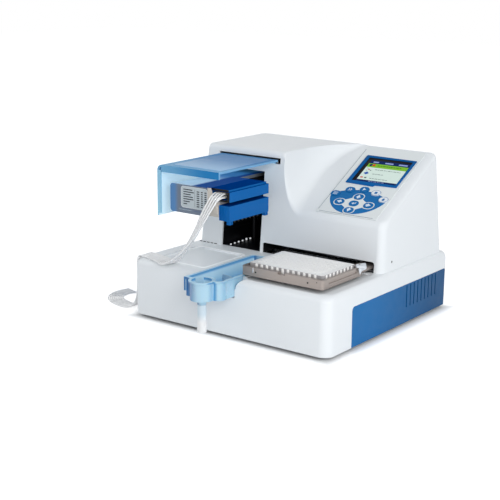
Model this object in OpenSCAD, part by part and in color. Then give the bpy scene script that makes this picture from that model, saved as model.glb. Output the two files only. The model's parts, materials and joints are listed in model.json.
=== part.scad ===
// Microplate reagent dispenser: a moulded base with an open deck, a rear tower with a
// black working bay, a sloped console, a peristaltic dispensing head under a hinged hood
// and a plate carrier that travels under the head.
// X runs to the right along the deck, Y to the rear and Z up. Lengths are millimetres.

/* [Base] */
// Width of the base
body_w = 352; // [340:1:365]
// Depth of the base, without the priming cup
body_d = 336; // [328:1:350]
// Height of the base, from its lower edge to the deck
base_h = 85; // [82:1:92]
// Height of the rubber feet
foot_h = 5; // [4:0.5:8]
// Diameter of the rubber feet
foot_d = 24; // [18:1:30]
// Wall of the mouldings
wall = 3; // [2.5:0.5:4]
// Radius of the base's front corners, seen from above
corner_front_r = 16; // [8:1:24]
// Radius of the base's rear corners, seen from above
corner_rear_r = 8; // [5:1:14]
// How far the front edge of the deck is rolled over
deck_roll_front = 14; // [8:1:18]
// How far the side edges of the deck are rolled over
deck_roll_side = 7; // [4:1:9]
// Depth of the shallow recesses in the deck
recess_depth = 2.5; // [1:0.5:3]

/* [Side panels] */
// Height of the blue side panels
panel_h = 59; // [50:1:64]
// Length of the side panels
panel_l = 272; // [240:2:276]
// Ventilation slots in each panel
panel_slots = 9; // [3:1:12]
// Distance between ventilation slots
panel_slot_pitch = 11; // [8:0.5:12]
// Length of a ventilation slot
panel_slot_l = 36; // [20:1:40]
// Width of a ventilation slot
panel_slot_w = 2.4; // [1.5:0.1:4]

/* [Tower and console] */
// Depth of the open deck, from the base's front to the tower
deck_d = 147; // [145:1:152]
// Height of the tower above the deck
tower_h = 157; // [154:1:165]
// Height of the console's front edge above the deck
console_h = 71; // [62:1:80]
// Width of the tower's flat top
tower_top_w = 157; // [154:1:163]
// Width of the curved flank between tower and console
flank_w = 38; // [28:1:48]
// Step from the base's edge in to the upper housing
shell_inset = 7; // [5:1:9]
// How far the tower's front leans back over its height
front_lean = 14; // [8:1:18]
// How far the rear wall leans in over its height
rear_lean = 16; // [6:1:20]
// How far each side leans in over the height
side_lean = 5; // [2:1:8]

/* [Working bay] */
// Width of the bay
bay_w = 75; // [74:1:80]
// Distance from the tower's left side to the bay
bay_x = 47; // [44:1:50]
// Depth of the bay
bay_d = 90; // [88:1:100]
// Height of the bay above the deck
bay_h = 124; // [122:1:130]
// Wall of the black bay liner
liner_wall = 2; // [1.5:0.5:3]
// Height of the plate slot
slot_h = 16; // [15:1:20]
// Width of the white post between bay and plate slot
post_w = 4; // [3:0.5:4.5]
// From the end of the plate slot to the housing's right side
slot_margin = 13; // [11:0.5:15]

/* [Plate carrier] */
// Length of a standard microplate
plate_l = 127.76; // [127:0.01:128.5]
// Width of a standard microplate
plate_w = 85.48; // [85:0.01:86]
// Height of a standard microplate
plate_h = 14.35; // [10:0.05:16]
// Distance between wells
well_pitch = 9; // [9:9]
// Radius of a well
well_r = 3.3; // [3:0.1:3.6]
// Rim of the carrier round the plate
carrier_rim = 4.5; // [3:0.5:6]
// Height of the carrier
carrier_h = 13; // [11:0.5:14]
// Gap between deck and carrier
carrier_gap = 4; // [3.5:0.5:5]
// Floor of the carrier under the plate
carrier_floor = 2.5; // [2:0.5:3]
// Space round the plate in its nest
plate_play = 0.4; // [0.3:0.1:0.8]
// Travel of the carrier
carrier_travel = 165; // [120:1:165]
// Width of the carrier's arm
arm_w = 26; // [18:1:28]

/* [Plate drive] */
// Radius of the drive pulleys
pulley_r = 8; // [6:0.5:9]
// Thickness of the drive belt
belt_t = 1.2; // [1:0.1:1.5]
// Width of the drive belt
belt_w = 6; // [5:0.5:8]
// Width of the guide rail
rail_w = 12; // [10:1:14]
// Height of the guide rail
rail_h = 8; // [6:1:10]

/* [Priming tray] */
// Width of the tray over its rim
tray_w = 61; // [60:0.5:62]
// Reach of the tray's cup in front of the base
cup_reach = 58; // [52:1:62]
// Depth of the tray
tray_depth = 28; // [22:1:30]
// Wall of the tray
tray_wall = 2; // [1.6:0.2:2.4]
// Width of the tray's rim
tray_rim = 2.4; // [2:0.2:3]
// Outer diameter of the drain tube
drain_d = 12.6; // [10:0.2:13]

/* [Dispensing head] */
// Channels of the head
channels = 8; // [8:1:8]
// From the bay's top down to the rotor's centre
rotor_drop = 26; // [25:0.5:27]
// Radius of the tube loops round the rotor
loop_r = 16.5; // [16:0.5:17]
// Outer diameter of the pump tubing
pump_tube_d = 2.4; // [2:0.2:2.8]
// Diameter of a roller
roller_d = 6; // [5:0.5:6.5]
// Number of rollers
rollers = 6; // [4:1:8]
// Diameter of the rotor's shaft
shaft_d = 8; // [6:0.5:9]
// Travel of the head, downwards
lift_travel = 45; // [30:1:45]
// Length of a dispensing tip below its holder
tip_l = 5.5; // [4:0.5:6]
// Diameter of the lift rods
lift_rod_d = 8; // [6:0.5:10]

/* [Hood] */
// Width of the hood
hood_w = 115; // [112:1:116]
// Depth of the hood
hood_d = 145; // [142:1:148]
// Height of the hood's side wall
hood_side_h = 76; // [60:1:80]
// Height of the hood's front lip
hood_lip_h = 10.5; // [8:0.5:14]
// Thickness of the hood
hood_t = 3; // [2.4:0.2:3.4]
// Diameter of the hood's hinge pin
hinge_pin_d = 3; // [2.5:0.5:3.5]

/* [Control panel] */
// Width of the control overlay
overlay_w = 104; // [100:1:106]
// Length of the control overlay along the slope
overlay_l = 163; // [160:1:164]
// Thickness of the control overlay
overlay_t = 1.2; // [0.8:0.1:1.6]
// Width of the screen's bezel
bezel_w = 88; // [84:1:92]
// Length of the screen's bezel along the slope
bezel_l = 70; // [70:1:76]
// Height of a key over the keypad
key_rise = 0.9; // [0.8:0.1:1.4]
// Length of a key
key_l = 15.4; // [14:0.2:16]
// Width of a key
key_w = 12; // [11:0.2:12.4]
// Gap round a key
key_gap = 0.3; // [0.25:0.05:0.5]

/* [Hidden] */
$fn = 48;

white = [0.88, 0.9, 0.91];
pale_blue = [0.45, 0.72, 0.86];
mid_blue = [0.18, 0.45, 0.68];
deep_blue = [0.07, 0.38, 0.66];
metal = [0.62, 0.59, 0.57];
steel = [0.72, 0.73, 0.75];
dark = [0.06, 0.06, 0.07];

// Clearance of a running fit, and of pieces that lie against each other
fit = 0.05;
gap = 0.3;
// A cut runs this far past the face that it opens
over = 1;

// Levels
deck_z = foot_h + base_h;
pan_t = 2;
pan_top = foot_h + pan_t;
top_z = deck_z + tower_h;
// The housing's front, and the model's own shift that puts the whole object's box on the origin
front_y = -body_d / 2;
rear_reach = body_d / 2;
origin_y = (cup_reach - front_y - rear_reach) / 2;

// Upper housing: half width, front and rear at the deck
half_w = body_w / 2 - shell_inset;
foot_front_y = front_y + deck_d;
foot_rear_y = body_d / 2 - shell_inset;
function front_at(z) = foot_front_y + (z - deck_z) * front_lean / tower_h;
console_z = deck_z + console_h;
console_y = front_at(console_z);
ridge_d = 4;
ridge_y = foot_rear_y - rear_lean - ridge_d;
slope_run = ridge_y - console_y;
slope_angle = atan((top_z - console_z) / slope_run);
slope_l = slope_run / cos(slope_angle);
flank_x = -half_w + tower_top_w;

// Bay and plate slot
bay_x0 = -half_w + bay_x;
bay_x1 = bay_x0 + bay_w;
bay_top = deck_z + bay_h;
slot_x0 = bay_x1 + post_w;
slot_x1 = half_w - slot_margin;
slot_w = slot_x1 - slot_x0;
bay_back = foot_front_y + bay_d;

// Plate carrier
carrier_l = plate_l + 2 * (carrier_rim + plate_play);
carrier_w = plate_w + 2 * (carrier_rim + plate_play) + 6;
carrier_x1 = slot_x1;
carrier_x0 = carrier_x1 - carrier_l;
carrier_y1 = foot_front_y - 30;
carrier_y0 = carrier_y1 - carrier_w;
carrier_z = deck_z + carrier_gap;
plate_z = carrier_z + carrier_floor;
plate_x = (carrier_x0 + carrier_x1) / 2;
plate_y = (carrier_y0 + carrier_y1) / 2;
arm_x1 = carrier_x1 - 4;
arm_x0 = arm_x1 - arm_w;
arm_z = carrier_z + 2;
arm_t = 4;
arm_seat = 6;

// Corner lever on the carrier
clip_x = carrier_x1 - 2.4;
clip_y = plate_y + plate_w / 2 + 3;
clip_z = carrier_z + carrier_h + gap;
clip_t = 3;
clip_pin_r = 1.5;

// Plate drive, behind the plate slot
rail_y = foot_front_y + 37;
rail_z = deck_z + 2;
rail_x0 = slot_x0 - 2;
rail_x1 = half_w - wall - 3;
belt_y = rail_y + 23;
belt_z = rail_z + 3;
drive_x = arm_x1;
idler_x = slot_x0 + pulley_r + belt_t + 1;
beam_h = 20;
saddle_t = 3;
motor_neck_r = 7;

// Priming tray
tray_x0 = bay_x1 + 6;
tray_x1 = tray_x0 + tray_w;
tray_back_y = foot_front_y - 25;
tray_top = deck_z + gap + 2;
tray_wall_o = tray_rim;
cup_tip_y = front_y - cup_reach;
cup_r = 19;
cup_x = tray_x0 + 32;
lobe_r = 13.7;
lobe_x = tray_x1 - lobe_r + 1.5;
lobe_y = cup_tip_y + cup_r + 16;
spout_h = 7;
shoulder_r = 15;
shoulder_l = 20;
drain_wall = 1.6;

// Dispensing head
head_y0 = plate_y - 47;
head_y1 = plate_y + 46;
head_x1 = tray_x0 + 35;
holder_w = 38;
core_w = 17;
tip_holder_w = 19;
core_x1 = head_x1 - tip_holder_w - gap;
core_x0 = core_x1 - core_w;
rotor_x = core_x0 - 43;
rotor_c = bay_top - rotor_drop;
upper_z0 = rotor_c + 4.5;
upper_h = 17.5;
lower_h = 22;
lower_z1 = upper_z0 - 5.5;
lower_z0 = lower_z1 - lower_h;
channel_y0 = plate_y - (channels - 1) * well_pitch / 2;
channel_span = (channels - 1) * well_pitch;
end_plate_t = 4;
rear_plate_y = head_y1 + 2;
motor_y0 = rear_plate_y + end_plate_t;
rod_y = bay_back - 22;
motor_y1 = rod_y - 10;
frame_x0 = rotor_x - 31;
frame_x1 = min(core_x0, head_x1 - holder_w) - gap;
frame_mid = (frame_x0 + frame_x1) / 2;
frame_w = frame_x1 - frame_x0;
frame_z0 = rotor_c - 21;
frame_z1 = rotor_c + 21;
carrier_block_t = 20;
rotor_disc_t = 3;
rotor_y0 = channel_y0 - 8;
rotor_y1 = channel_y0 + channel_span + 8;
roller_ring_r = loop_r - pump_tube_d / 2 - gap - roller_d / 2;
rod_span = 23;
screw_d = 8;

// Hood and its hinge
hood_top = deck_z + 145;
hood_x0 = bay_x0 - 13;
hood_x1 = hood_x0 + hood_w;
hinge_z = hood_top - 4;
hinge_y = front_at(hinge_z) - 2.3;
hinge_r = 3;
hood_y1 = hinge_y;
hood_y0 = hood_y1 - hood_d;
slit_h = 9;

// Control panel, in the slope's own plane: x across, y up the slope from its front edge
panel_x = slot_x1 - 6.5 - overlay_w / 2;
overlay_y = 7;
bezel_y = 79;
bezel_t = 1.7;
bezel_shift = 2;
screen_w = 79;
screen_l = 58.5;
screen_y = 89;
keypad_t = 0.4;
keypad_r = 49;
keypad_y = 60;
keypad_top_r = 86;
keypad_top_y = -20;
key_t = 3;
key_window_w = 100;
key_window_l = 66;
cross_y = 34.4;
cross_x = 24.8;
cross_step = 15.7;
arc_r = 59.5;
arc_y = 8.4;
arc_step = 22;
key_window_y = (cross_y - cross_step + arc_y + arc_r) / 2;

// Rear wall
inlet_x = -106;
switch_x = -74;
switch_y = foot_rear_y - 8;
switch_z = deck_z + 19.5;

// Free tubing: the middle of the bundle, from the head's mouth over the deck to the table,
// and the way that the row of tubes points there
tube_r = 1.2;
tube_sides = 8;
tube_pitch = 3.4;
mouth_pitch_x = 5.2;
mouth_pitch_z = 5.2;
tube_route = [
    [-24, -149, 202, 0], [-24, -154, 201.5, -2], [-26, -160, 197, -8], [-30, -165, 187, -18],
    [-35.5, -169, 174, -31], [-42, -172.5, 159, -46], [-50, -175, 143, -62], [-61, -176.5, 126, -78],
    [-75, -175.5, 111, -92], [-91, -171, 99.5, -104], [-107, -165.5, 92.2, -112], [-123, -156, 91.3, -114],
    [-139, -150, 91.3, -110], [-153, -146, 91.3, -103], [-164, -144, 91.4, -95], [-171.5, -143, 91.2, -90],
    [-176, -142.6, 89, -90], [-178.4, -142.3, 83.5, -90], [-179, -142, 72, -90], [-179.5, -141.5, 56, -90],
    [-180.6, -141, 39, -90], [-183.5, -140.5, 23, -91], [-190, -140, 11, -93], [-201, -139, 4, -95],
    [-216, -137.5, 1.4, -98], [-232, -134.5, 1.4, -103], [-247, -129, 1.4, -113], [-260, -119, 1.4, -129],
    [-268, -105, 1.4, -150], [-270, -89, 1.4, -172], [-266, -73, 1.4, -196]];

// Small shared forms
module block(x0, x1, y0, y1, z0, z1) {
    translate([x0, y0, z0]) cube([x1 - x0, y1 - y0, z1 - z0]);
}

module rounded(w, d, r) {
    square([w - 2 * r, d], center = true);
    square([w, d - 2 * r], center = true);
    for (x = [-1, 1], y = [-1, 1])
        translate([x * (w / 2 - r), y * (d / 2 - r)]) circle(r);
}

module slab(x0, x1, y0, y1, z0, z1, r) {
    translate([(x0 + x1) / 2, (y0 + y1) / 2, z0])
        linear_extrude(z1 - z0) rounded(x1 - x0, y1 - y0, r);
}

module across(x0, x1, r) {
    translate([x0, 0, 0]) rotate([0, 90, 0]) cylinder(r = r, h = x1 - x0);
}

module along(y0, y1, r) {
    translate([0, y0, 0]) rotate([-90, 0, 0]) cylinder(r = r, h = y1 - y0);
}

module on_slope() {
    translate([0, console_y, console_z]) rotate([slope_angle, 0, 0]) children();
}

// Puts a piece drawn round the housing's centre into the object's own frame
module placed() {
    translate([0, origin_y, 0]) children();
}

// Base: one tapered block with rolled edges, used for the outside and, inset, for the inside
roll_z = 10;
roll_steps = 4;
module base_form(inset, z0) {
    layers = concat([[z0, 0]], [for (i = [0:roll_steps]) let (a = 90 * i / roll_steps)
        [deck_z - inset - roll_z * (1 - sin(a)), 1 - cos(a)]]);
    hull()
        for (layer = layers, sx = [-1, 1], sy = [-1, 1]) {
            r = max((sy < 0 ? corner_front_r : corner_rear_r) - inset, 1);
            roll_y = sy < 0 ? deck_roll_front : 2;
            translate([
                sx * (body_w / 2 - inset - deck_roll_side * layer[1] - r),
                sy * (body_d / 2 - inset - roll_y * layer[1] - r),
                layer[0] - 0.01])
                cylinder(r = r, h = 0.01, $fn = 32);
        }
}

// Plan of the tray, drawn in by the given distance
module tray_plan(inset) {
    translate([(tray_x0 + tray_x1) / 2, (tray_back_y + lobe_y) / 2])
        rounded(tray_w - 2 * inset, tray_back_y - lobe_y - 2 * inset, 8 - inset);
    translate([cup_x, cup_tip_y + cup_r]) circle(cup_r - inset);
    translate([lobe_x, lobe_y]) circle(lobe_r - inset);
    translate([tray_x0 + inset, cup_tip_y + cup_r - 1 + inset])
        square([cup_r + 6 - inset, lobe_y - cup_tip_y]);
}

module base_shell() {
    channel_floor = tray_top - tray_depth - gap - 2;
    recess_x0 = -half_w + 19;
    recess_x1 = tray_x0 - 18;
    color(white) difference() {
        union() {
            difference() {
                base_form(0, foot_h);
                base_form(wall, foot_h - over);
            }
            // Trough that the priming tray hangs in
            block(tray_x0, tray_x1, front_y + wall / 2, tray_back_y + wall, channel_floor - wall, deck_z - 1);
            // Shoulder of the deck beside the cup
            intersection() {
                base_form(0.5, foot_h);
                block(tray_x1 - 3, tray_x1 + shoulder_r + 4, front_y + 1, front_y + shoulder_l + wall, deck_z - shoulder_r - 5, deck_z);
            }
            // Screw posts for the bottom pan
            for (x = [-1, 1]) {
                translate([x * (body_w / 2 - 22), front_y + 24, pan_top + gap])
                    cylinder(r = 5, h = deck_z - pan_top - gap - 1);
                translate([x * (body_w / 2 - 60), body_d / 2 - wall - 4, pan_top + gap])
                    cylinder(r = 5, h = deck_z - pan_top - 20);
            }
        }
        // Inside of the trough, open to the front
        translate([0, 0, channel_floor]) linear_extrude(tray_depth + 10) intersection() {
            tray_plan(tray_rim - 0.6);
            translate([tray_x0, front_y - over]) square([tray_w, body_d]);
        }
        // Rounded edge of the shoulder
        difference() {
            block(tray_x1 - 3.5, tray_x1 + shoulder_r, front_y - over, front_y + shoulder_l, deck_z - shoulder_r, deck_z + over);
            translate([tray_x1 + shoulder_r, 0, deck_z - shoulder_r]) along(front_y - 2 * over, front_y + shoulder_l + over, shoulder_r);
        }
        // Opening under the tower and console
        block(-half_w + 6, half_w - 6, foot_front_y + wall + 1, foot_rear_y - 6, deck_z - wall - 6, deck_z + over);
        // Openings behind the side panels
        for (s = [-1, 1])
            slab_side(s, panel_l, panel_h, 6);
        // Left deck recess and right deck recess
        slab(recess_x0, recess_x1, front_y + 23, foot_front_y - 28, deck_z - recess_depth, deck_z + over, 6);
        slab(tray_x1 + 4, slot_x1 + 3, front_y + 10, foot_front_y - 4, deck_z - recess_depth + 0.5, deck_z + over, 8);
    }
}

// Opening of a side panel, cut through one side wall
module slab_side(s, l, h, r) {
    y1 = body_d / 2 - 4;
    translate([s * body_w / 2, y1 - l / 2, foot_h + h / 2 - 3])
        rotate([90, 0, 90]) translate([0, 0, -8]) linear_extrude(16) rounded(l, h + 6, r);
}

module side_panels() {
    y1 = body_d / 2 - 4 - gap;
    slots_y0 = y1 - 33 - (panel_slots - 1) * panel_slot_pitch;
    color(mid_blue) for (s = [-1, 1])
        difference() {
            intersection() {
                difference() {
                    base_form(0.4, foot_h);
                    base_form(wall, foot_h - over);
                }
                translate([s * body_w / 2, y1 - panel_l / 2 + gap, foot_h + panel_h / 2 - 3 - gap])
                    rotate([90, 0, 90]) translate([0, 0, -8])
                        linear_extrude(16) rounded(panel_l - 2 * gap, panel_h + 6, 6);
            }
            for (i = [0:panel_slots - 1])
                translate([s * body_w / 2 - 6, slots_y0 + i * panel_slot_pitch, foot_h + panel_h - panel_slot_l - gap])
                    cube([12, panel_slot_w, panel_slot_l - 2]);
        }
}

module bottom_pan() {
    pan_w = body_w - 2 * (wall + gap);
    pan_d = body_d - 2 * (wall + gap);
    color(steel) difference() {
        translate([0, 0, foot_h]) linear_extrude(pan_t) rounded(pan_w, pan_d, corner_front_r - wall);
        for (i = [0:9])
            translate([-60 + i * 12, 60, foot_h - over]) cube([4, 50, 4]);
        for (x = [-1, 1]) {
            translate([x * (body_w / 2 - 22), front_y + 24, foot_h - over]) cylinder(r = 2.2, h = 4);
            translate([x * (body_w / 2 - 60), body_d / 2 - wall - 4, foot_h - over]) cylinder(r = 2.2, h = 4);
        }
    }
}

module rubber_feet() {
    color(dark) for (x = [-1, 1], y = [-1, 1])
        translate([x * (body_w / 2 - 44), y * (body_d / 2 - 40), 0]) {
            cylinder(r1 = foot_d / 2 - 1.5, r2 = foot_d / 2, h = foot_h - 2);
            translate([0, 0, foot_h - 2]) cylinder(r = foot_d / 2, h = 2);
        }
}

// Upper housing: cross-sections from left to right, each a profile from the front foot over
// the top to the rear foot. A section holds [x base, how much it follows the flank's edge,
// share of the flank's width, height share over the console, roll of the end].
round_x = 11;
round_front = 14;
round_top = 6;
round_rear = 9;
end_steps = 5;
flank_steps = 8;
crest_r = 4;
crest_bow = 52;
edge_r = 9;

function flank_edge(y, o) = flank_x - o + crest_bow * pow(max(0, (y - 10) / (ridge_y - 10)), 3.5);
function console_at(y, o) = min(top_z - o, console_z - o * 1.14 + (y - console_y) * tan(slope_angle));
function flank_width(y) = 4 + (flank_w - 4) * max(0, top_z - console_at(y, 0)) / (top_z - console_z);

end_left = [for (i = [0:end_steps]) let (a = 90 * i / end_steps)
    [-half_w + round_x * (1 - cos(a)), 0, 0, 1, 1 - sin(a), 0]];
crest = [for (i = [0:2]) let (a = 45 * i)
    [0, 1, 0, 1, 0, crest_r * (1 - cos(a)), -crest_r * (1 - sin(a))]];
flank = [for (i = [1:flank_steps]) let (a = 90 * i / flank_steps)
    [0, 1, 1 - cos(a), 1 - sin(a), 0, crest_r * (1 - i / flank_steps), 0]];
end_right = [for (i = [end_steps:-1:0]) let (a = 90 * i / end_steps)
    [half_w - round_x * (1 - cos(a)), 0, 0, 0, 1 - sin(a), 0]];
sections = concat(end_left, crest, flank, end_right);

function section_x(s, y, o) =
    s[1] == 0 ? s[0] * (half_w - o) / half_w
              : flank_edge(y, o) + (len(s) > 6 ? s[6] : 0) + s[2] * flank_width(y);
function section_top(s, y, o) =
    let (c = console_at(y, o), t = top_z - o)
    c + (t - c) * s[3] - s[5] * (t - c) / (top_z - console_z) - s[4] * round_top;

function bend(a, c, b, t) = (1 - t) * (1 - t) * a + 2 * t * (1 - t) * c + t * t * b;

function profile(s, o, z0) =
    let (
        fy = foot_front_y + o + s[4] * round_front,
        ry = foot_rear_y - o - s[4] * round_rear,
        corner_z = section_top(s, console_y + 4 * s[3], o),
        corner_y = fy + (corner_z - deck_z) * front_lean / tower_h,
        crown_y = ry - rear_lean,
        crown_z = section_top(s, crown_y, o),
        r = max(edge_r - o, 2),
        front_low = [corner_y - r * front_lean / tower_h, corner_z - r],
        front_top = [corner_y + r, section_top(s, corner_y + r, o)],
        rear_top = [crown_y - r, section_top(s, crown_y - r, o)],
        rear_low = [crown_y + r * rear_lean / tower_h, crown_z - r])
    concat(
        [[fy - (deck_z - z0) * 0.05, z0]],
        [for (t = [0:0.25:1]) bend(front_low, [corner_y, corner_z], front_top, t)],
        [for (t = [0.2:0.2:0.8]) let (y = corner_y + r + (crown_y - 2 * r - corner_y) * t) [y, section_top(s, y, o)]],
        [for (t = [0:0.25:1]) bend(rear_top, [crown_y, crown_z], rear_low, t)],
        [[ry, z0]]);

module housing_form(o, z0) {
    rows = [for (s = sections) [for (p = profile(s, o, z0))
        [section_x(s, p[0], o) * (1 - side_lean / half_w * (p[1] - deck_z) / tower_h), p[0], p[1]]]];
    n = len(rows[0]);
    m = len(rows);
    points = [for (row = rows) each row];
    skin = [for (i = [0:m - 2], j = [0:n - 1]) let (k = (j + 1) % n)
        each [[i * n + j, i * n + k, (i + 1) * n + k], [i * n + j, (i + 1) * n + k, (i + 1) * n + j]]];
    caps = concat([[for (j = [n - 1:-1:0]) j]], [[for (j = [0:n - 1]) (m - 1) * n + j]]);
    polyhedron(points = points, faces = concat(skin, caps), convexity = 6);
}

module rear_housing() {
    color(white) difference() {
        housing_form(0, deck_z);
        housing_form(wall, deck_z - over);
        // Mouth of the bay
        block(bay_x0, bay_x1, foot_front_y - over, foot_front_y + 30, deck_z - over, bay_top);
        // Plate slot
        translate([(slot_x0 + slot_x1) / 2, foot_front_y - over, deck_z])
            rotate([-90, 0, 0]) translate([0, 0, 0]) linear_extrude(12)
                rounded(slot_w, 2 * slot_h, 4);
        // Slit for the hood's hinge
        block(hood_x0 - 1, hood_x1 + 1, foot_front_y, front_at(hinge_z) + 8, hinge_z - slit_h / 2 + 1, hinge_z + slit_h / 2 + 1);
        // Windows for the screen and the keypad
        on_slope() {
            translate([panel_x, screen_y + screen_l / 2, -8])
                linear_extrude(12) rounded(screen_w + 2, screen_l + 2, 1);
            translate([panel_x, key_window_y, -8])
                linear_extrude(12) rounded(key_window_w, key_window_l, 12);
        }
        // Screw seat in the right side
        translate([half_w - 1.2, foot_front_y + 29.7, deck_z + 13.2]) across(0, 5, 1.9);
        // Power inlet, switch and ports in the rear wall
        block(inlet_x - 14, inlet_x + 14, foot_rear_y - 30, foot_rear_y + 10, deck_z + 12, deck_z + 32);
        block(switch_x - 10, switch_x + 10, foot_rear_y - 30, foot_rear_y + 10, deck_z + 12, deck_z + 27);
        block(60, 96, foot_rear_y - 30, foot_rear_y + 10, deck_z + 12, deck_z + 26);
        // Cooling slots in the rear wall
        for (i = [0:11])
            block(-34 + i * 6, -31 + i * 6, foot_rear_y - 30, foot_rear_y + 10, deck_z + 20, deck_z + 60);
    }
}

// Everything in front of the front wall's leaning inner face
module before_front() {
    translate([0, foot_front_y + wall + gap, deck_z]) rotate([-atan(front_lean / tower_h), 0, 0])
        translate([-body_w / 2, -60, -20]) cube([body_w, 60, tower_h + 20]);
}

module bay_liner() {
    x0 = bay_x0 - liner_wall;
    x1 = bay_x1 + liner_wall;
    y0 = foot_front_y + wall;
    y1 = bay_back + liner_wall;
    color(dark) difference() {
        block(x0, x1, y0, y1, deck_z - liner_wall, bay_top + liner_wall);
        block(bay_x0, bay_x1, y0 - over, bay_back, deck_z, bay_top);
        before_front();
        // Hole for the lift screw
        translate([rotor_x, rod_y, deck_z - 10]) cylinder(r = screw_d / 2 + 1, h = 20);
        // Clear of the deck's edge
        block(x0 - over, x1 + over, y0 - over, foot_front_y + wall + 1 + gap, deck_z - liner_wall - over, deck_z);
    }
}

// Black roof and rear wall of the space behind the plate slot
module slot_liner() {
    x0 = bay_x1 + liner_wall + gap;
    x1 = half_w - wall - 6;
    y1 = belt_y - pulley_r - belt_t;
    roof_z = deck_z + slot_h + gap;
    color(dark) difference() {
        union() {
            block(x0, x1, foot_front_y, y1, roof_z, roof_z + liner_wall);
            block(x0, x1, y1 - liner_wall, y1, belt_z + belt_w + 1, roof_z + liner_wall);
        }
        before_front();
    }
}

module rail_beam() {
    color(metal) {
        difference() {
            block(rail_x0, rail_x1, rail_y - 8, rail_y + 34, rail_z - rail_h - beam_h, rail_z - rail_h);
            block(rail_x0 - over, rail_x1 + over, rail_y - 5, rail_y + 31, rail_z - rail_h - beam_h - over, rail_z - rail_h - 3);
            // Hole for the motor's shaft
            translate([drive_x, belt_y, rail_z - rail_h - 4]) cylinder(r = motor_neck_r + gap, h = 6);
        }
        for (x = [rail_x0 + 6, rail_x1 - 34])
            block(x, x + 4, rail_y - 8, rail_y + 34, pan_top, rail_z - rail_h - 3);
    }
}

module x_rail() {
    color(steel) difference() {
        block(rail_x0, rail_x1, rail_y - rail_w / 2, rail_y + rail_w / 2, rail_z - rail_h, rail_z);
        for (s = [-1, 1])
            translate([rail_x0 - over, rail_y + s * rail_w / 2, rail_z - rail_h / 2]) across(0, rail_x1 - rail_x0 + 2 * over, 1.2);
    }
}

module carrier_arm() {
    saddle_h = rail_h - 3;
    color(metal) difference() {
        union() {
            block(arm_x0, arm_x1, carrier_y1 - arm_seat, rail_y + rail_w / 2 + saddle_t, arm_z, arm_z + arm_t);
            // Saddle over the guide rail
            block(arm_x0, arm_x1, rail_y - rail_w / 2 - saddle_t, rail_y + rail_w / 2 + saddle_t, rail_z - saddle_h, arm_z + arm_t);
            // Belt clamp
            block(arm_x0, arm_x0 + 12, rail_y + rail_w / 2, belt_y - pulley_r - belt_t - gap, belt_z, belt_z + belt_w);
        }
        block(arm_x0 - over, arm_x1 + over, rail_y - rail_w / 2 - gap, rail_y + rail_w / 2 + gap, rail_z - saddle_h - over, rail_z + gap);
    }
}

module plate_carrier() {
    nest_l = plate_l + 2 * plate_play;
    nest_w = plate_w + 2 * plate_play;
    color(metal) difference() {
        union() {
            slab(carrier_x0, carrier_x1, carrier_y0, carrier_y1, carrier_z, carrier_z + carrier_h, 4);
            translate([clip_x, clip_y, carrier_z + carrier_h - 1])
                cylinder(r = clip_pin_r, h = gap + clip_t + 1.4);
        }
        // Nest of the plate
        translate([plate_x - nest_l / 2, plate_y - nest_w / 2, plate_z - 0.01]) cube([nest_l, nest_w, 20]);
        // Window in the floor
        slab(carrier_x0 + 16, carrier_x1 - 30, carrier_y0 + 16, carrier_y1 - 16, carrier_z - over, plate_z + over, 6);
        // Seat of the arm under the rear rim
        block(arm_x0 - gap, arm_x1 + gap, carrier_y1 - arm_seat - gap, carrier_y1 + over, carrier_z - over, arm_z + arm_t + gap);
        // Finger notches in the front and rear rims
        for (y = [carrier_y0 - over, plate_y + nest_w / 2 - over])
            block(plate_x - 6, plate_x + 6, y, y + 12, carrier_z + carrier_h - 3, carrier_z + carrier_h + over);
        // Long groove in the right side
        block(carrier_x1 - 1.2, carrier_x1 + over, plate_y - 36, plate_y + 34, plate_z + 3.5, plate_z + 6.5);
        // Screw holes
        for (x = [plate_x - 44, plate_x + 44])
            translate([x, carrier_y0 - over, carrier_z + carrier_h / 2]) rotate([-90, 0, 0]) cylinder(r = 1.3, h = 3);
    }
}

// Spring-loaded corner lever that pushes the plate into its nest
module plate_clip() {
    nose_x = plate_x + plate_l / 2 + gap;
    color(white) difference() {
        translate([0, 0, clip_z]) linear_extrude(clip_t)
            polygon([
                [clip_x - 4, clip_y - 2.5], [nose_x, clip_y - 6.5], [nose_x + 3, clip_y - 9],
                [clip_x + 14, clip_y - 4], [clip_x + 2, clip_y + 13], [clip_x - 3, clip_y + 3]]);
        translate([clip_x, clip_y, clip_z - over]) cylinder(r = clip_pin_r + fit, h = clip_t + 2 * over);
    }
}

module microplate() {
    skirt_h = 2.5;
    top_inset = 1.8;
    color([0.92, 0.93, 0.94]) difference() {
        union() {
            slab(plate_x - plate_l / 2, plate_x + plate_l / 2, plate_y - plate_w / 2, plate_y + plate_w / 2, plate_z, plate_z + skirt_h, 3.2);
            slab(plate_x - plate_l / 2 + top_inset, plate_x + plate_l / 2 - top_inset, plate_y - plate_w / 2 + top_inset, plate_y + plate_w / 2 - top_inset, plate_z, plate_z + plate_h, 3.2);
        }
        for (i = [0:11], j = [0:7])
            translate([plate_x + (i - 5.5) * well_pitch, plate_y + (j - 3.5) * well_pitch, plate_z + 3.5])
                cylinder(r = well_r, h = plate_h);
    }
}

module x_motor() {
    motor_w = 35;
    z1 = rail_z - rail_h - beam_h - gap;
    color(dark) {
        translate([drive_x, belt_y, z1 - 34]) linear_extrude(34) rounded(motor_w, motor_w, 4);
        // Shaft up to the pulley, carried in the beam
        translate([drive_x, belt_y, z1 - over]) cylinder(r = motor_neck_r, h = beam_h - 1);
        translate([drive_x, belt_y, z1]) cylinder(r = 2.5, h = belt_z + belt_w - z1);
    }
}

module pulley(x) {
    translate([x, belt_y, belt_z]) difference() {
        cylinder(r = pulley_r, h = belt_w);
        translate([0, 0, -over]) cylinder(r = 2.5 + fit, h = belt_w + 2 * over);
    }
}

module drive_pulley() {
    color(steel) pulley(drive_x);
}

module idler_pulley() {
    color(steel) pulley(idler_x);
}

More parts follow.
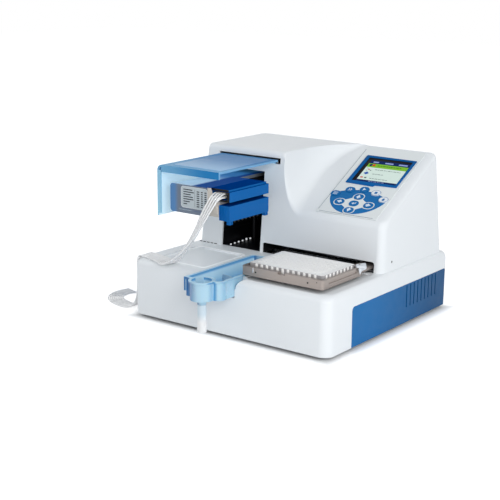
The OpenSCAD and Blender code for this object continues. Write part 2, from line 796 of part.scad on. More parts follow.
module drive_belt() {
    gap_in = 0.2;
    color(dark) difference() {
        belt_outline(pulley_r + belt_t, 0);
        belt_outline(pulley_r + gap_in, over);
    }
}

module belt_outline(r, extra) {
    translate([0, 0, belt_z + 0.5 - extra]) linear_extrude(belt_w - 1 + 2 * extra) {
        translate([idler_x, belt_y - r]) square([drive_x - idler_x, 2 * r]);
        translate([idler_x, belt_y]) circle(r);
        translate([drive_x, belt_y]) circle(r);
    }
}

module priming_tray() {
    floor_z = tray_top - tray_depth;
    color(pale_blue) difference() {
        union() {
            translate([0, 0, floor_z]) linear_extrude(tray_depth) tray_plan(tray_rim);
            translate([0, 0, tray_top - 2]) linear_extrude(2) tray_plan(0);
            // Spout under the cup
            translate([cup_x, cup_tip_y + cup_r, floor_z - spout_h]) cylinder(r = drain_d / 2 + 0.2, h = spout_h + 1);
            translate([cup_x, cup_tip_y + cup_r, floor_z - 2 * spout_h])
                cylinder(r = drain_d / 2 - drain_wall - fit, h = spout_h + 1);
            // Hook that steadies the cup against the base
            block(tray_x0, tray_x0 + 3, cup_tip_y + cup_r - 1, cup_tip_y + cup_r + 11, floor_z + 8, tray_top);
        }
        translate([0, 0, floor_z + tray_wall]) linear_extrude(tray_depth) tray_plan(tray_rim + tray_wall);
        translate([cup_x, cup_tip_y + cup_r, floor_z - 2 * spout_h - over]) cylinder(r = 2.6, h = 2 * spout_h + 8);
    }
}

module drain_tube() {
    z1 = tray_top - tray_depth - spout_h - gap;
    z0 = foot_h + 12;
    color([0.93, 0.95, 0.95]) translate([cup_x, cup_tip_y + cup_r, 0]) difference() {
        union() {
            translate([0, 0, z0]) cylinder(r = drain_d / 2, h = z1 - z0);
            translate([0, 0, z0]) cylinder(r = drain_d / 2 + 0.4, h = 18);
        }
        translate([0, 0, z0 - over]) cylinder(r = drain_d / 2 - drain_wall, h = z1 - z0 + 2 * over);
    }
}

module rotor_bore(y0, y1, extra) {
    translate([rotor_x, 0, rotor_c]) along(y0 - over, y1 + over, shaft_d / 2 + extra);
}

module pump_frame() {
    color([0.45, 0.47, 0.51]) difference() {
        union() {
            // Front and rear plates that carry the rotor
            plate_slab(head_y0 + 3, head_y0 + 3 + end_plate_t);
            plate_slab(rear_plate_y - end_plate_t + 2, rear_plate_y + 2);
            // Roof between them
            block(frame_x0 + 8, frame_x1, head_y0 + 3, rear_plate_y + 2, frame_z1 - 3, frame_z1);
            // Beam back to the lift, with its bearing block
            block(rotor_x - 20, rotor_x + 20, rear_plate_y, rod_y - 8, frame_z1 - 6, frame_z1 - 1);
            block(rotor_x - rod_span - 9, rotor_x + rod_span + 9, rod_y - 10, rod_y + 10, rotor_c - 8, frame_z1 - 1);
        }
        rotor_bore(head_y0 + 3, rear_plate_y + 2, fit);
        for (s = [-1, 1])
            translate([rotor_x + s * rod_span, rod_y, rotor_c - 8 - over]) cylinder(r = lift_rod_d / 2 + fit, h = 40);
        translate([rotor_x, rod_y, rotor_c - 8 - over]) cylinder(r = screw_d / 2 + gap, h = 40);
    }
}

module plate_slab(y0, y1) {
    translate([frame_mid, y1, rotor_c]) rotate([90, 0, 0])
        linear_extrude(y1 - y0) rounded(frame_w, frame_z1 - frame_z0, 5);
}

module pump_end_cover() {
    color([0.45, 0.47, 0.51])
        translate([frame_mid, head_y0 + 3 - gap, rotor_c]) rotate([90, 0, 0])
            difference() {
                linear_extrude(3 - gap) rounded(frame_w, frame_z1 - frame_z0, 5);
                translate([5, 0, 2.3]) linear_extrude(2) rounded(frame_w - 22, frame_z1 - frame_z0 - 10, 3);
            }
}

module pump_rotor() {
    color(steel) translate([rotor_x, 0, rotor_c]) {
        along(head_y0 + 3 + 1, rear_plate_y + 2 + 2, shaft_d / 2);
        for (y = [rotor_y0, rotor_y1 - rotor_disc_t])
            along(y, y + rotor_disc_t, roller_ring_r + roller_d / 2 - 0.6);
    }
}

module pump_rollers() {
    color([0.85, 0.86, 0.88]) for (i = [0:rollers - 1])
        translate([rotor_x, 0, rotor_c]) rotate([0, i * 360 / rollers, 0]) translate([roller_ring_r, 0, 0])
            along(rotor_y0 + rotor_disc_t + gap / 3, rotor_y1 - rotor_disc_t - gap / 3, roller_d / 2);
}

module cassette_core() {
    nose_t = 2.7;
    nose_x = frame_x1 + gap;
    color([0.86, 0.84, 0.8]) {
        difference() {
            block(core_x0 + gap, core_x1, head_y0 - gap, head_y1, lower_z0 + 4, upper_z0 - gap);
            block(core_x0 - over, core_x1 - 4, head_y0 + 12, head_y1 - 4, lower_z0 + 14, upper_z0 - 5);
        }
        // Nose with a slanted edge, in front of the tube holder
        translate([0, head_y0 - gap, 0]) rotate([90, 0, 0]) linear_extrude(nose_t) polygon([
            [nose_x, frame_z0 + 7], [core_x1, frame_z0 + 7], [core_x1, frame_z0 + 10],
            [nose_x + 5, frame_z1 + 2], [nose_x, frame_z1 + 2]]);
    }
}

module tube_holder() {
    x0 = head_x1 - holder_w;
    color(deep_blue) difference() {
        union() {
            block(x0, head_x1, head_y0, head_y1, upper_z0, upper_z0 + upper_h - 3);
            block(x0 + 3, head_x1 - 3, head_y0 + 2, head_y1 - 2, upper_z0 + upper_h - 3 - 0.01, upper_z0 + upper_h);
        }
        // Mouth that the tubes enter
        block(x0 + 7, head_x1 - 5, head_y0 - over, head_y0 + 12, upper_z0 + 3, upper_z0 + upper_h - 3.5);
        // Passages of the pump tubes
        for (i = [0:channels - 1])
            translate([0, channel_y0 + i * well_pitch, rotor_c + loop_r]) across(x0 - over, x0 + 8, pump_tube_d / 2 + fit);
    }
}

module tip_holder() {
    x0 = head_x1 - tip_holder_w;
    color(deep_blue) difference() {
        union() {
            block(x0, head_x1, head_y0, head_y1, lower_z0, lower_z1);
            // Prongs at both ends
            for (y = [head_y0 + 1, head_y1 - 8], i = [0, 1])
                block(head_x1 - 6, head_x1, y + i * 4, y + i * 4 + 2.4, lower_z0 - 5, lower_z0 + 1);
        }
        // Seats of the tips
        for (i = [0:channels - 1])
            translate([x0 + tip_holder_w / 2, channel_y0 + i * well_pitch, lower_z0 - over])
                cylinder(r = 1.8 + fit, h = 8 + over);
    }
}

module dispensing_tips() {
    x = head_x1 - tip_holder_w / 2;
    color(steel) for (i = [0:channels - 1])
        translate([x, channel_y0 + i * well_pitch, 0]) difference() {
            union() {
                translate([0, 0, lower_z0 - 1]) cylinder(r = 1.8, h = 8);
                translate([0, 0, lower_z0 - tip_l]) cylinder(r1 = 0.9, r2 = 1.8, h = tip_l - 1);
            }
            translate([0, 0, lower_z0 - tip_l - over]) cylinder(r = 0.4, h = 20);
        }
}

module tube_loops() {
    x_low = core_x0 + gap;
    x_high = head_x1 - holder_w + 8;
    color([0.93, 0.95, 0.96]) {
        for (i = [0:channels - 1])
            translate([0, channel_y0 + i * well_pitch, rotor_c]) {
                translate([0, 0, loop_r]) across(rotor_x, x_high, pump_tube_d / 2);
                translate([0, 0, -loop_r]) across(rotor_x, x_low, pump_tube_d / 2);
                translate([rotor_x, 0, 0]) rotate([90, 0, 0]) difference() {
                    rotate_extrude() translate([loop_r, 0]) circle(pump_tube_d / 2);
                    translate([0, -loop_r - 5, -5]) cube([loop_r + 5, 2 * loop_r + 10, 10]);
                }
            }
        // Ends of the tubes in the holder's mouth
        for (i = [0:channels - 1])
            translate([mouth(i)[0], 0, mouth(i)[2]]) along(head_y0, head_y0 + 12, tube_r);
    }
}

module pump_motor() {
    color(dark) difference() {
        union() {
            translate([rotor_x, 0, rotor_c - 3]) rotate([-90, 0, 0])
                translate([0, 0, rear_plate_y + 2 + gap]) linear_extrude(motor_y1 - rear_plate_y - 2 - 2 * gap) rounded(40, 34, 6);
        }
        rotor_bore(rear_plate_y, rear_plate_y + 6, 1);
    }
}

module lift_rods() {
    color(steel) for (s = [-1, 1])
        translate([rotor_x + s * rod_span, rod_y, deck_z]) cylinder(r = lift_rod_d / 2, h = bay_h);
}

module lift_screw() {
    color(steel) translate([rotor_x, rod_y, deck_z - 6]) {
        cylinder(r = screw_d / 2, h = bay_h + 6 - gap);
        cylinder(r = screw_d / 2 + 0.5, h = 4);
    }
}

module lift_motor() {
    z1 = deck_z - liner_wall - gap;
    color(dark) difference() {
        translate([rotor_x, rod_y, z1 - 44]) linear_extrude(44) rounded(42, 42, 5);
        translate([rotor_x, rod_y, z1 - 5]) cylinder(r = screw_d / 2 + 0.5 + fit, h = 6);
    }
}

module pump_hood() {
    side_z = hood_top - hood_side_h;
    flange_w = 6.5;
    color(pale_blue) difference() {
        union() {
            // Top with its left wall, as one bent sheet
            difference() {
                hood_bend(0, hood_y0, hood_y1 - hinge_r - gap);
                hood_bend(hood_t, hood_y0 - over, hood_y1 + over);
            }
            // Front lip
            block(hood_x0 + 8, hood_x1, hood_y0, hood_y0 + hood_t, hood_top - hood_lip_h, hood_top - 1);
            // Front flange of the left wall
            block(hood_x0, hood_x0 + flange_w, hood_y0, hood_y0 + 2.5, side_z + 4, hood_top - 8);
            // Barrels of the hinge
            for (x = [hood_x0 + 6, hood_x1 - 26])
                translate([0, hinge_y, hinge_z]) across(x, x + 20, hinge_r);
            for (x = [hood_x0 + 6, hood_x1 - 26])
                block(x, x + 20, hinge_y - 9, hinge_y, hinge_z - 1, hinge_z + hinge_r);
        }
        translate([0, hinge_y, hinge_z]) across(hood_x0 - over, hood_x1 + over, hinge_pin_d / 2 + fit);
        // The left wall ends clear of the tower
        block(hood_x0 - over, hood_x0 + 4, front_at(side_z) - 6, 40, side_z - over, hood_top - 14);
    }
}

module hood_bend(inset, y0, y1) {
    r = 9 - inset;
    side_z = hood_top - hood_side_h;
    translate([0, y1, 0]) rotate([90, 0, 0]) linear_extrude(y1 - y0) {
        translate([hood_x0 + 9, hood_top - 9]) circle(r);
        translate([hood_x0 + inset, side_z - (inset > 0 ? over : 0)]) square([40, hood_side_h - 9 + (inset > 0 ? over : 0)]);
        translate([hood_x0 + 9, hood_top - 40]) square([hood_w - 9 + (inset > 0 ? over : 0), 40 - inset]);
    }
}

module hood_pin() {
    color(steel) translate([0, hinge_y, hinge_z]) across(hood_x0 + 2, hood_x1 - 2, hinge_pin_d / 2);
    // Brackets that hold the pin to the tower
    color(dark) for (x = [hood_x0 + 27, hood_x1 - 31])
        difference() {
            block(x, x + 4, hinge_y - hinge_pin_d / 2 - 0.7, front_at(hinge_z) + wall + 4,
                hinge_z - slit_h / 2 + 1 + gap, hinge_z + hinge_pin_d / 2 + 0.8);
            translate([0, hinge_y, hinge_z]) across(x - over, x + 5, hinge_pin_d / 2 - 0.01);
        }
}

module control_overlay() {
    color([0.88, 0.9, 0.92]) on_slope() difference() {
        translate([panel_x, overlay_y + overlay_l / 2, 0]) linear_extrude(overlay_t) rounded(overlay_w, overlay_l, 3);
        translate([panel_x, screen_y + screen_l / 2, -over]) linear_extrude(5) rounded(screen_w + 2, screen_l + 2, 1);
        key_holes();
    }
}

module screen_bezel() {
    color(mid_blue) on_slope() difference() {
        union() {
            translate([panel_x + bezel_shift, bezel_y + bezel_l / 2, overlay_t])
                linear_extrude(bezel_t) rounded(bezel_w, bezel_l, 2);
            translate([panel_x + bezel_shift, bezel_y + 4, overlay_t])
                linear_extrude(bezel_t + 0.3) rounded(bezel_w, 8, 2);
        }
        translate([panel_x, screen_y + screen_l / 2, -over]) linear_extrude(9) rounded(screen_w, screen_l, 1);
    }
}

module display() {
    color([0.1, 0.2, 0.35]) on_slope()
        translate([panel_x, screen_y + screen_l / 2, -5]) linear_extrude(5 + overlay_t + 1) rounded(screen_w - 2 * gap, screen_l - 2 * gap, 1);
}

// Keys: place and angle of each, on the arc above and in the cross below
function arc_key(i) = let (a = (i - 2) * arc_step) [arc_r * sin(a), arc_y + arc_r * cos(a)];
key_places = concat(
    [for (i = [0:4]) arc_key(i)],
    [[0, cross_y + cross_step], [-cross_x, cross_y], [0, cross_y], [cross_x, cross_y], [0, cross_y - cross_step]]);

module key_plan(grow) {
    r = key_w / 2 + grow;
    half = (key_l - key_w) / 2;
    for (s = [-1, 1])
        translate([s * half, 0]) circle(r);
    square([2 * half, 2 * r], center = true);
}

module key_holes() {
    for (p = key_places)
        translate([panel_x + p[0], p[1], -over]) linear_extrude(5) key_plan(key_gap);
}

// Half-moon on the overlay, with the keys of the arc across its edge
module keypad_panel() {
    color(mid_blue) on_slope() difference() {
        translate([panel_x, 0, overlay_t]) linear_extrude(keypad_t) intersection() {
            translate([0, keypad_y]) circle(keypad_r);
            translate([0, keypad_top_y]) circle(keypad_top_r);
        }
        key_holes();
    }
}

module key(i) {
    p = key_places[i];
    color(i == 3 || i == 4 ? white : mid_blue) on_slope()
        translate([panel_x + p[0], p[1], overlay_t + keypad_t + key_rise - key_t]) linear_extrude(key_t) key_plan(0);
}

module control_board() {
    color([0.1, 0.35, 0.2]) on_slope() {
        translate([panel_x - 45, overlay_y + 4, -9.5]) cube([90, 150, 1.6]);
        // Switch domes under the keys
        for (p = key_places)
            translate([panel_x + p[0], p[1], -8]) cylinder(r = 3, h = 8 + overlay_t + keypad_t + key_rise - key_t - 0.8);
        for (x = [-44, 42], y = [14, 154])
            translate([panel_x + x, y, -8]) cylinder(r = 2, h = 8 - wall - gap);
    }
    // Ports in the rear wall, on their own small board
    color(steel) {
        block(60 + gap, 96 - gap, foot_rear_y - 22, foot_rear_y - 4, deck_z + 12 + gap, deck_z + 26 - gap);
    }
}

module power_supply() {
    color(steel) difference() {
        block(-70, 30, 76, 140, pan_top, foot_h + 44);
        for (i = [0:7])
            block(-60 + i * 11, -54 + i * 11, 80, 136, foot_h + 40, foot_h + 45);
    }
}

module power_inlet() {
    y1 = foot_rear_y - 2;
    color(dark) difference() {
        union() {
            block(inlet_x - 14 + gap, inlet_x + 14 - gap, y1 - 26, y1, deck_z + 12 + gap, deck_z + 32 - gap);
            // Frame of the switch
            block(switch_x - 10 + gap, switch_x + 10 - gap, y1 - 16, y1, deck_z + 12 + gap, deck_z + 27 - gap);
        }
        block(inlet_x - 10, inlet_x + 10, y1 - 14, y1 + over, deck_z + 16, deck_z + 28);
        block(switch_x - 6.3, switch_x + 6.3, y1 - 12, y1 + over, switch_z - 7.1, switch_z + 7.1);
        translate([0, switch_y, switch_z]) across(switch_x - 8, switch_x + 8, 1.5 + fit);
    }
}

module power_switch() {
    color(dark) {
        intersection() {
            translate([0, switch_y, switch_z]) across(switch_x - 6, switch_x + 6, 7);
            block(switch_x - 7, switch_x + 7, switch_y - 4, switch_y + 8, switch_z - 6.5, switch_z + 6.5);
        }
        translate([0, switch_y, switch_z]) across(switch_x - 7.6, switch_x + 7.6, 1.5);
    }
}

// Tubes: each keeps its own place in the bundle, which changes from the mouth's two rows
// into one flat row on the table
function mouth(i) = [
    head_x1 - holder_w / 2 + 1 + (i % 4 - 1.5) * mouth_pitch_x,
    head_y0 - fit,
    upper_z0 + upper_h / 2 + (floor(i / 4) - 0.5) * mouth_pitch_z];
function row_shift(i) = (i - 3.5) * tube_pitch;
function tube_path(i) = [for (k = [0:len(tube_route) - 1])
    let (
        p = tube_route[k],
        o = tube_route[0],
        t = min(1, k / 10),
        m = mouth(i) - [o[0], o[1], o[2]])
    [p[0], p[1], p[2]] + m * (1 - t) + [cos(p[3]), sin(p[3]), 0] * row_shift(i) * t];

module tube(i) {
    path = tube_path(i);
    n = len(path);
    function dir(k) = let (d = path[min(k + 1, n - 1)] - path[max(k - 1, 0)]) d / norm(d);
    rings = [for (k = [0:n - 1])
        let (d = k == 0 ? [0, -1, 0] : dir(k), u0 = cross(d, abs(d[2]) > 0.9 ? [0, 1, 0] : [0, 0, 1]), u = u0 / norm(u0), v = cross(d, u))
        [for (j = [0:tube_sides - 1]) let (a = 360 * (j + 0.5) / tube_sides) path[k] + tube_r * (cos(a) * u + sin(a) * v)]];
    points = [for (r = rings) each r];
    s = tube_sides;
    walls = [for (k = [0:n - 2], j = [0:s - 1]) let (l = (j + 1) % s)
        each [[k * s + j, (k + 1) * s + l, k * s + l], [k * s + j, (k + 1) * s + j, (k + 1) * s + l]]];
    caps = [[for (j = [0:s - 1]) j], [for (j = [s - 1:-1:0]) (n - 1) * s + j]];
    color([0.93, 0.95, 0.96]) polyhedron(points = points, faces = concat(walls, caps));
}

placed() base_shell();
placed() bottom_pan();
placed() rubber_feet();
placed() side_panels();
placed() rear_housing();
placed() bay_liner();
placed() rail_beam();
placed() x_rail();
placed() carrier_arm();
placed() plate_carrier();
placed() plate_clip();
placed() microplate();
placed() x_motor();
placed() drive_pulley();
placed() idler_pulley();
placed() drive_belt();
placed() priming_tray();
placed() drain_tube();
placed() pump_frame();
placed() pump_end_cover();
placed() pump_rotor();
placed() pump_rollers();
placed() cassette_core();
placed() tube_holder();
placed() tip_holder();
placed() dispensing_tips();
placed() tube_loops();
placed() pump_motor();
placed() lift_rods();
placed() lift_screw();
placed() lift_motor();
placed() pump_hood();
placed() hood_pin();
placed() control_overlay();
placed() screen_bezel();
placed() display();
placed() keypad_panel();
placed() key(0);  // key_menu
placed() key(1);  // key_prime
placed() key(2);  // key_start
placed() key(3);  // key_stop
placed() key(4);  // key_empty
placed() key(5);  // key_up
placed() key(6);  // key_left
placed() key(7);  // key_enter
placed() key(8);  // key_right
placed() key(9);  // key_down
placed() control_board();
placed() power_supply();
placed() power_inlet();
placed() power_switch();
placed() slot_liner();
placed() tube(0);  // tube_1
placed() tube(1);  // tube_2
placed() tube(2);  // tube_3
placed() tube(3);  // tube_4
placed() tube(4);  // tube_5
placed() tube(5);  // tube_6
placed() tube(6);  // tube_7
placed() tube(7);  // tube_8
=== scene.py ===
"""Microplate reagent dispenser: finishes, fine pieces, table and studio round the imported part.

Positions are millimetres round the housing's centre, as in the part's source, until at() or
settle() turns them into the frame's metres.
"""

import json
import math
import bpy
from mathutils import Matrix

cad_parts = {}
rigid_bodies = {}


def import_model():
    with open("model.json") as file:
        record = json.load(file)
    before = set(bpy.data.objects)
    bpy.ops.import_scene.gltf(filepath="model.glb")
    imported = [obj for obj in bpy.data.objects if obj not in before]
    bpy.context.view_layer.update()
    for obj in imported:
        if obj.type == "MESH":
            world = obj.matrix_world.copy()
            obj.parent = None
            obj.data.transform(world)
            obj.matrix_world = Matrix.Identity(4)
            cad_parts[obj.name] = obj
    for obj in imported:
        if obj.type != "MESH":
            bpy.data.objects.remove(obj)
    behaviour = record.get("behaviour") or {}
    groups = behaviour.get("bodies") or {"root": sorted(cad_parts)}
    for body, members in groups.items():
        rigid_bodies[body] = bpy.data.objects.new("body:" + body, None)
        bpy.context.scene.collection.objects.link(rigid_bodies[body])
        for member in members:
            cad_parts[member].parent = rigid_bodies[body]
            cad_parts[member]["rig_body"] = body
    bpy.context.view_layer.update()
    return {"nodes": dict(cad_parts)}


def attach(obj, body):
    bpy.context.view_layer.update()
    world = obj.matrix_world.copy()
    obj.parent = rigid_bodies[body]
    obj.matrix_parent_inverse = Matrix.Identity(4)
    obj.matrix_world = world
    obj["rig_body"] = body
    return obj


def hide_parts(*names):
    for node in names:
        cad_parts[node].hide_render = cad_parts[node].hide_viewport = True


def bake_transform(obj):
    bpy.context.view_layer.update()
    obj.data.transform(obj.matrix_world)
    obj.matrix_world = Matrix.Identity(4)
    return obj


bl_info = {
    "name": "Microplate reagent dispenser",
    "version": (1, 0, 0),
    "blender": (4, 5, 0),
    "location": "3D View > Sidebar > Dispenser",
    "description": "Dresses the reagent dispenser's frame and lights it",
    "category": "Object",
}

import bpy
from mathutils import Matrix, Vector

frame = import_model()

MM = 0.001
# From the frame's middle back to the housing's, in metres
SHIFT_Y = 0.029
# The control panel's middle across, in millimetres
PANEL_X = 97.5
# Where the painted shade line down the tray's front lies, in metres
GROOVE_X = 0.0094
# The plane of the control panel
SLOPE = (
    Matrix.Translation((0, -14.67 * MM + SHIFT_Y, 161 * MM))
    @ Matrix.Rotation(math.radians(28.92), 4, "X")
)


def rgb(red, green, blue):
    """A colour from its values on screen."""

    def light(value):
        value /= 255
        return value / 12.92 if value <= 0.04045 else ((value + 0.055) / 1.055) ** 2.4

    return (light(red), light(green), light(blue), 1.0)


def shade(colour, amount):
    """The same colour, lighter above 1 and darker below it."""
    return tuple(min(1.0, c * amount) for c in colour[:3]) + (1.0,)


def colour_choice(name, description, default):
    return bpy.props.FloatVectorProperty(
        name=name, description=description, subtype="COLOR", size=4, min=0, max=1, default=default
    )


def length_choice(name, description, default):
    return bpy.props.FloatProperty(
        name=name, description=description, subtype="DISTANCE", unit="LENGTH", min=0, default=default
    )


class DispenserColours(bpy.types.PropertyGroup):
    """Colours of the dispenser's mouldings"""

    shell: colour_choice("Shell", "White of the base and the upper housing", rgb(238, 241, 243))
    side: colour_choice("Side panels", "Blue of the ventilated side panels", rgb(16, 104, 166))
    hood: colour_choice("Hood", "Blue of the hinged hood", rgb(118, 172, 214))
    # The hood's inner faces: pale and glowing a little, painted light through the translucent walls
    hood_inside_painted_light: colour_choice("Hood lining", "Pale blue inside the hood", rgb(206, 231, 243))
    tray: colour_choice("Tray", "Blue of the priming tray", rgb(188, 219, 236))
    cassette: colour_choice("Cassette", "Blue of the tube and tip holders", rgb(0, 98, 172))
    pump: colour_choice("Pump", "Grey of the pump's plates", rgb(128, 133, 139))
    carrier: colour_choice("Carrier", "Champagne tone of the plate carrier", rgb(160, 150, 144))
    overlay: colour_choice("Overlay", "Grey of the control panel", rgb(232, 236, 236))
    bezel: colour_choice("Bezel", "Blue round the screen", rgb(14, 98, 168))
    keypad: colour_choice("Keypad", "Blue of the keypad", rgb(26, 116, 184))


class DispenserSizes(bpy.types.PropertyGroup):
    """Sizes of the free tubing and the table"""

    tube: length_choice("Tube", "Outer diameter of the free tubing", 0.0024)
    floor: length_choice("Table", "Width of the table", 12.0)


def colours():
    return bpy.context.scene.dispenser_colours


def sizes():
    return bpy.context.scene.dispenser_sizes


# Modelling


def at(x, y, z):
    """A point of the housing's own millimetres in the frame."""
    return Vector((x * MM, y * MM + SHIFT_Y, z * MM))


def deselect():
    if bpy.context.object and bpy.context.object.mode != "OBJECT":
        bpy.ops.object.mode_set(mode="OBJECT")
    bpy.ops.object.select_all(action="DESELECT")


def work_on(piece):
    deselect()
    piece.select_set(True)
    bpy.context.view_layer.objects.active = piece


def edit(piece, mode="FACE"):
    work_on(piece)
    bpy.ops.object.mode_set(mode="EDIT")
    bpy.ops.mesh.select_mode(type=mode)


def object_mode():
    bpy.ops.object.mode_set(mode="OBJECT")


def pick_edges(piece, test):
    """Selects the edges whose two ends pass the test, and goes into edit mode."""
    edit(piece, "EDGE")
    bpy.ops.mesh.select_all(action="DESELECT")
    object_mode()
    points = piece.data.vertices
    for line in piece.data.edges:
        line.select = bool(test(points[line.vertices[0]].co, points[line.vertices[1]].co))
    bpy.ops.object.mode_set(mode="EDIT")


def modify(piece, kind, **settings):
    """Adds a modifier and applies it."""
    work_on(piece)
    modifier = piece.modifiers.new(kind.title(), kind)
    for name, value in settings.items():
        setattr(modifier, name, value)
    bpy.ops.object.modifier_apply(modifier=modifier.name)


def soften(piece, radius, segments=2, angle=35):
    """Rounds the edges that are sharper than the angle."""
    modify(
        piece, "BEVEL", width=radius, segments=segments, limit_method="ANGLE",
        angle_limit=math.radians(angle), use_clamp_overlap=True,
    )


def repeated(piece, count, step):
    """Repeats a piece in a row, by a step in millimetres."""
    modify(
        piece, "ARRAY", count=count, use_relative_offset=False, use_constant_offset=True,
        constant_offset_displace=step,
    )


def settle(piece, placing=None):
    """Puts a piece drawn in millimetres into the frame, with its place in its mesh."""
    work_on(piece)
    bpy.ops.object.transform_apply(location=True, rotation=True, scale=True)
    if placing is None:
        placing = Matrix.Translation((0, SHIFT_Y, 0))
    piece.data.transform(placing @ Matrix.Scale(MM, 4))
    piece.data.update()
    return piece


def slab(name, low, high, corner=0.0, edge=0.0):
    """A block between two corners, in millimetres, with rounded upright corners and softened edges."""
    deselect()
    centre = [(a + b) / 2 for a, b in zip(low, high)]
    size = [b - a for a, b in zip(low, high)]
    bpy.ops.mesh.primitive_cube_add(size=1, location=centre, scale=size)
    piece = bpy.context.object
    piece.name = name
    bpy.ops.object.transform_apply(location=True, rotation=True, scale=True)
    if corner:
        pick_edges(piece, lambda p, q: abs(p.x - q.x) < 1e-4 and abs(p.y - q.y) < 1e-4)
        bpy.ops.mesh.bevel(offset=corner, segments=8, affect="EDGES")
        object_mode()
    if edge:
        soften(piece, edge, segments=2, angle=50)
    return piece


def flat_face(name, outline, base):
    """A face with the given outline, in millimetres, selected in edit mode."""
    deselect()
    bpy.ops.mesh.primitive_circle_add(vertices=len(outline), radius=1, fill_type="NGON")
    piece = bpy.context.object
    piece.name = name
    for vertex, (x, y) in zip(piece.data.vertices, outline):
        vertex.co = (x, y, base)
    edit(piece)
    bpy.ops.mesh.select_all(action="SELECT")
    return piece


def raised(piece, thickness):
    """Extrudes a piece in edit mode upwards and turns its faces outwards."""
    bpy.ops.mesh.select_all(action="SELECT")
    bpy.ops.mesh.extrude_region_move(TRANSFORM_OT_translate={"value": (0, 0, thickness)})
    bpy.ops.mesh.select_all(action="SELECT")
    bpy.ops.mesh.normals_make_consistent(inside=False)
    object_mode()
    return piece


def plate(name, outline, thickness, base=0.0):
    """A flat plate with the given outline, in millimetres."""
    return raised(flat_face(name, outline, base), thickness)


def rim(name, outline, width, thickness, base=0.0):
    """A raised line that follows an outline, in millimetres."""
    piece = flat_face(name, outline, base)
    bpy.ops.mesh.inset(thickness=width)
    bpy.ops.mesh.delete(type="FACE")
    return raised(piece, thickness)


def stick(name, x, y, z, radius, length, axis="Z", sides=24):
    """A round bar from a point along an axis, in millimetres, with softened ends."""
    deselect()
    turn = {"X": (0, math.pi / 2, 0), "Y": (-math.pi / 2, 0, 0), "Z": (0, 0, 0)}[axis]
    middle = [x, y, z]
    middle["XYZ".index(axis)] += length / 2
    bpy.ops.mesh.primitive_cylinder_add(
        vertices=sides, radius=radius, depth=length, location=middle, rotation=turn
    )
    piece = bpy.context.object
    piece.name = name
    bpy.ops.object.transform_apply(location=True, rotation=True, scale=True)
    soften(piece, min(radius, length) * 0.2, segments=2, angle=60)
    return piece


def joined(name, pieces):
    """Several pieces as one mesh."""
    deselect()
    for piece in pieces:
        piece.select_set(True)
    bpy.context.view_layer.objects.active = pieces[0]
    if len(pieces) > 1:
        bpy.ops.object.join()
    piece = bpy.context.object
    piece.name = name
    return piece


def rounded_outline(x, y, w, d, r, steps=6):
    """Points of a rectangle with rounded corners round a centre."""
    points = []
    for sx, sy, start in ((1, 1, 0), (-1, 1, 90), (-1, -1, 180), (1, -1, 270)):
        for i in range(steps + 1):
            a = math.radians(start + 90 * i / steps)
            points.append((x + sx * (w / 2 - r) + r * math.cos(a), y + sy * (d / 2 - r) + r * math.sin(a)))
    return points


def bar(x, y, w, d, r=0.3):
    """Points of a small rectangle, with few points at its corners."""
    return rounded_outline(x, y, w, d, r, 2)


def turned(points, angle, x=0.0, y=0.0):
    """Outline points turned round the origin, then moved."""
    c, s = math.cos(math.radians(angle)), math.sin(math.radians(angle))
    return [(x + px * c - py * s, y + px * s + py * c) for px, py in points]


def finished(piece, body, finish, smooth=40):
    """Shades a piece, gives it its finish, and lets it ride on a body."""
    work_on(piece)
    bpy.ops.object.shade_smooth_by_angle(angle=math.radians(smooth))
    piece.data.materials.clear()
    piece.data.materials.append(FINISHES[finish])
    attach(piece, body)
    return piece


def refined(name, node, finish, radius, segments=2, angle=40, smooth=40, flat=0.4):
    """A copy of a CAD node with softened edges and smooth faces, which stands for it."""
    source = frame["nodes"][node]
    piece = source.copy()
    piece.data = source.data.copy()
    for key in list(piece.keys()):
        del piece[key]
    piece.parent = None
    piece.matrix_world = Matrix.Identity(4)
    bpy.context.scene.collection.objects.link(piece)
    piece.name = name
    piece.data.materials.clear()
    edit(piece)
    bpy.ops.mesh.select_all(action="SELECT")
    bpy.ops.mesh.customdata_custom_splitnormals_clear()
    bpy.ops.mesh.remove_doubles(threshold=1e-6)
    bpy.ops.mesh.dissolve_limited(angle_limit=math.radians(flat))
    object_mode()
    if radius:
        soften(piece, radius, segments, angle)
    finished(piece, source["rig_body"], finish, smooth)
    modify(piece, "WEIGHTED_NORMAL", keep_sharp=True)
    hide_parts(node)
    return piece


def tint(piece, finish, test):
    """Gives the faces that pass the test another finish."""
    piece.data.materials.append(FINISHES[finish])
    index = len(piece.data.materials) - 1
    for face in piece.data.polygons:
        if test(face.center, face.normal):
            face.material_index = index


# Finishes

FINISHES = {}
# How much of the usual mirror gloss moulded plastic keeps
SHEEN = 0.22
# Scale of the fine spark grain
SPARK = 2600
WHITE = (1, 1, 1, 1)


class Value:
    """A socket whose sums, differences and products with numbers or sockets add Math nodes."""

    def __init__(self, nodes, socket):
        self.nodes = nodes
        self.socket = socket

    def worked(self, operation, first, second):
        return self.nodes.node("ShaderNodeMath", {"operation": operation}, {0: first, 1: second})

    def __add__(self, other):
        return self.worked("ADD", self, other)

    def __radd__(self, other):
        return self.worked("ADD", other, self)

    def __sub__(self, other):
        return self.worked("SUBTRACT", self, other)

    def __rsub__(self, other):
        return self.worked("SUBTRACT", other, self)

    def __mul__(self, other):
        return self.worked("MULTIPLY", self, other)

    def __rmul__(self, other):
        return self.worked("MULTIPLY", other, self)


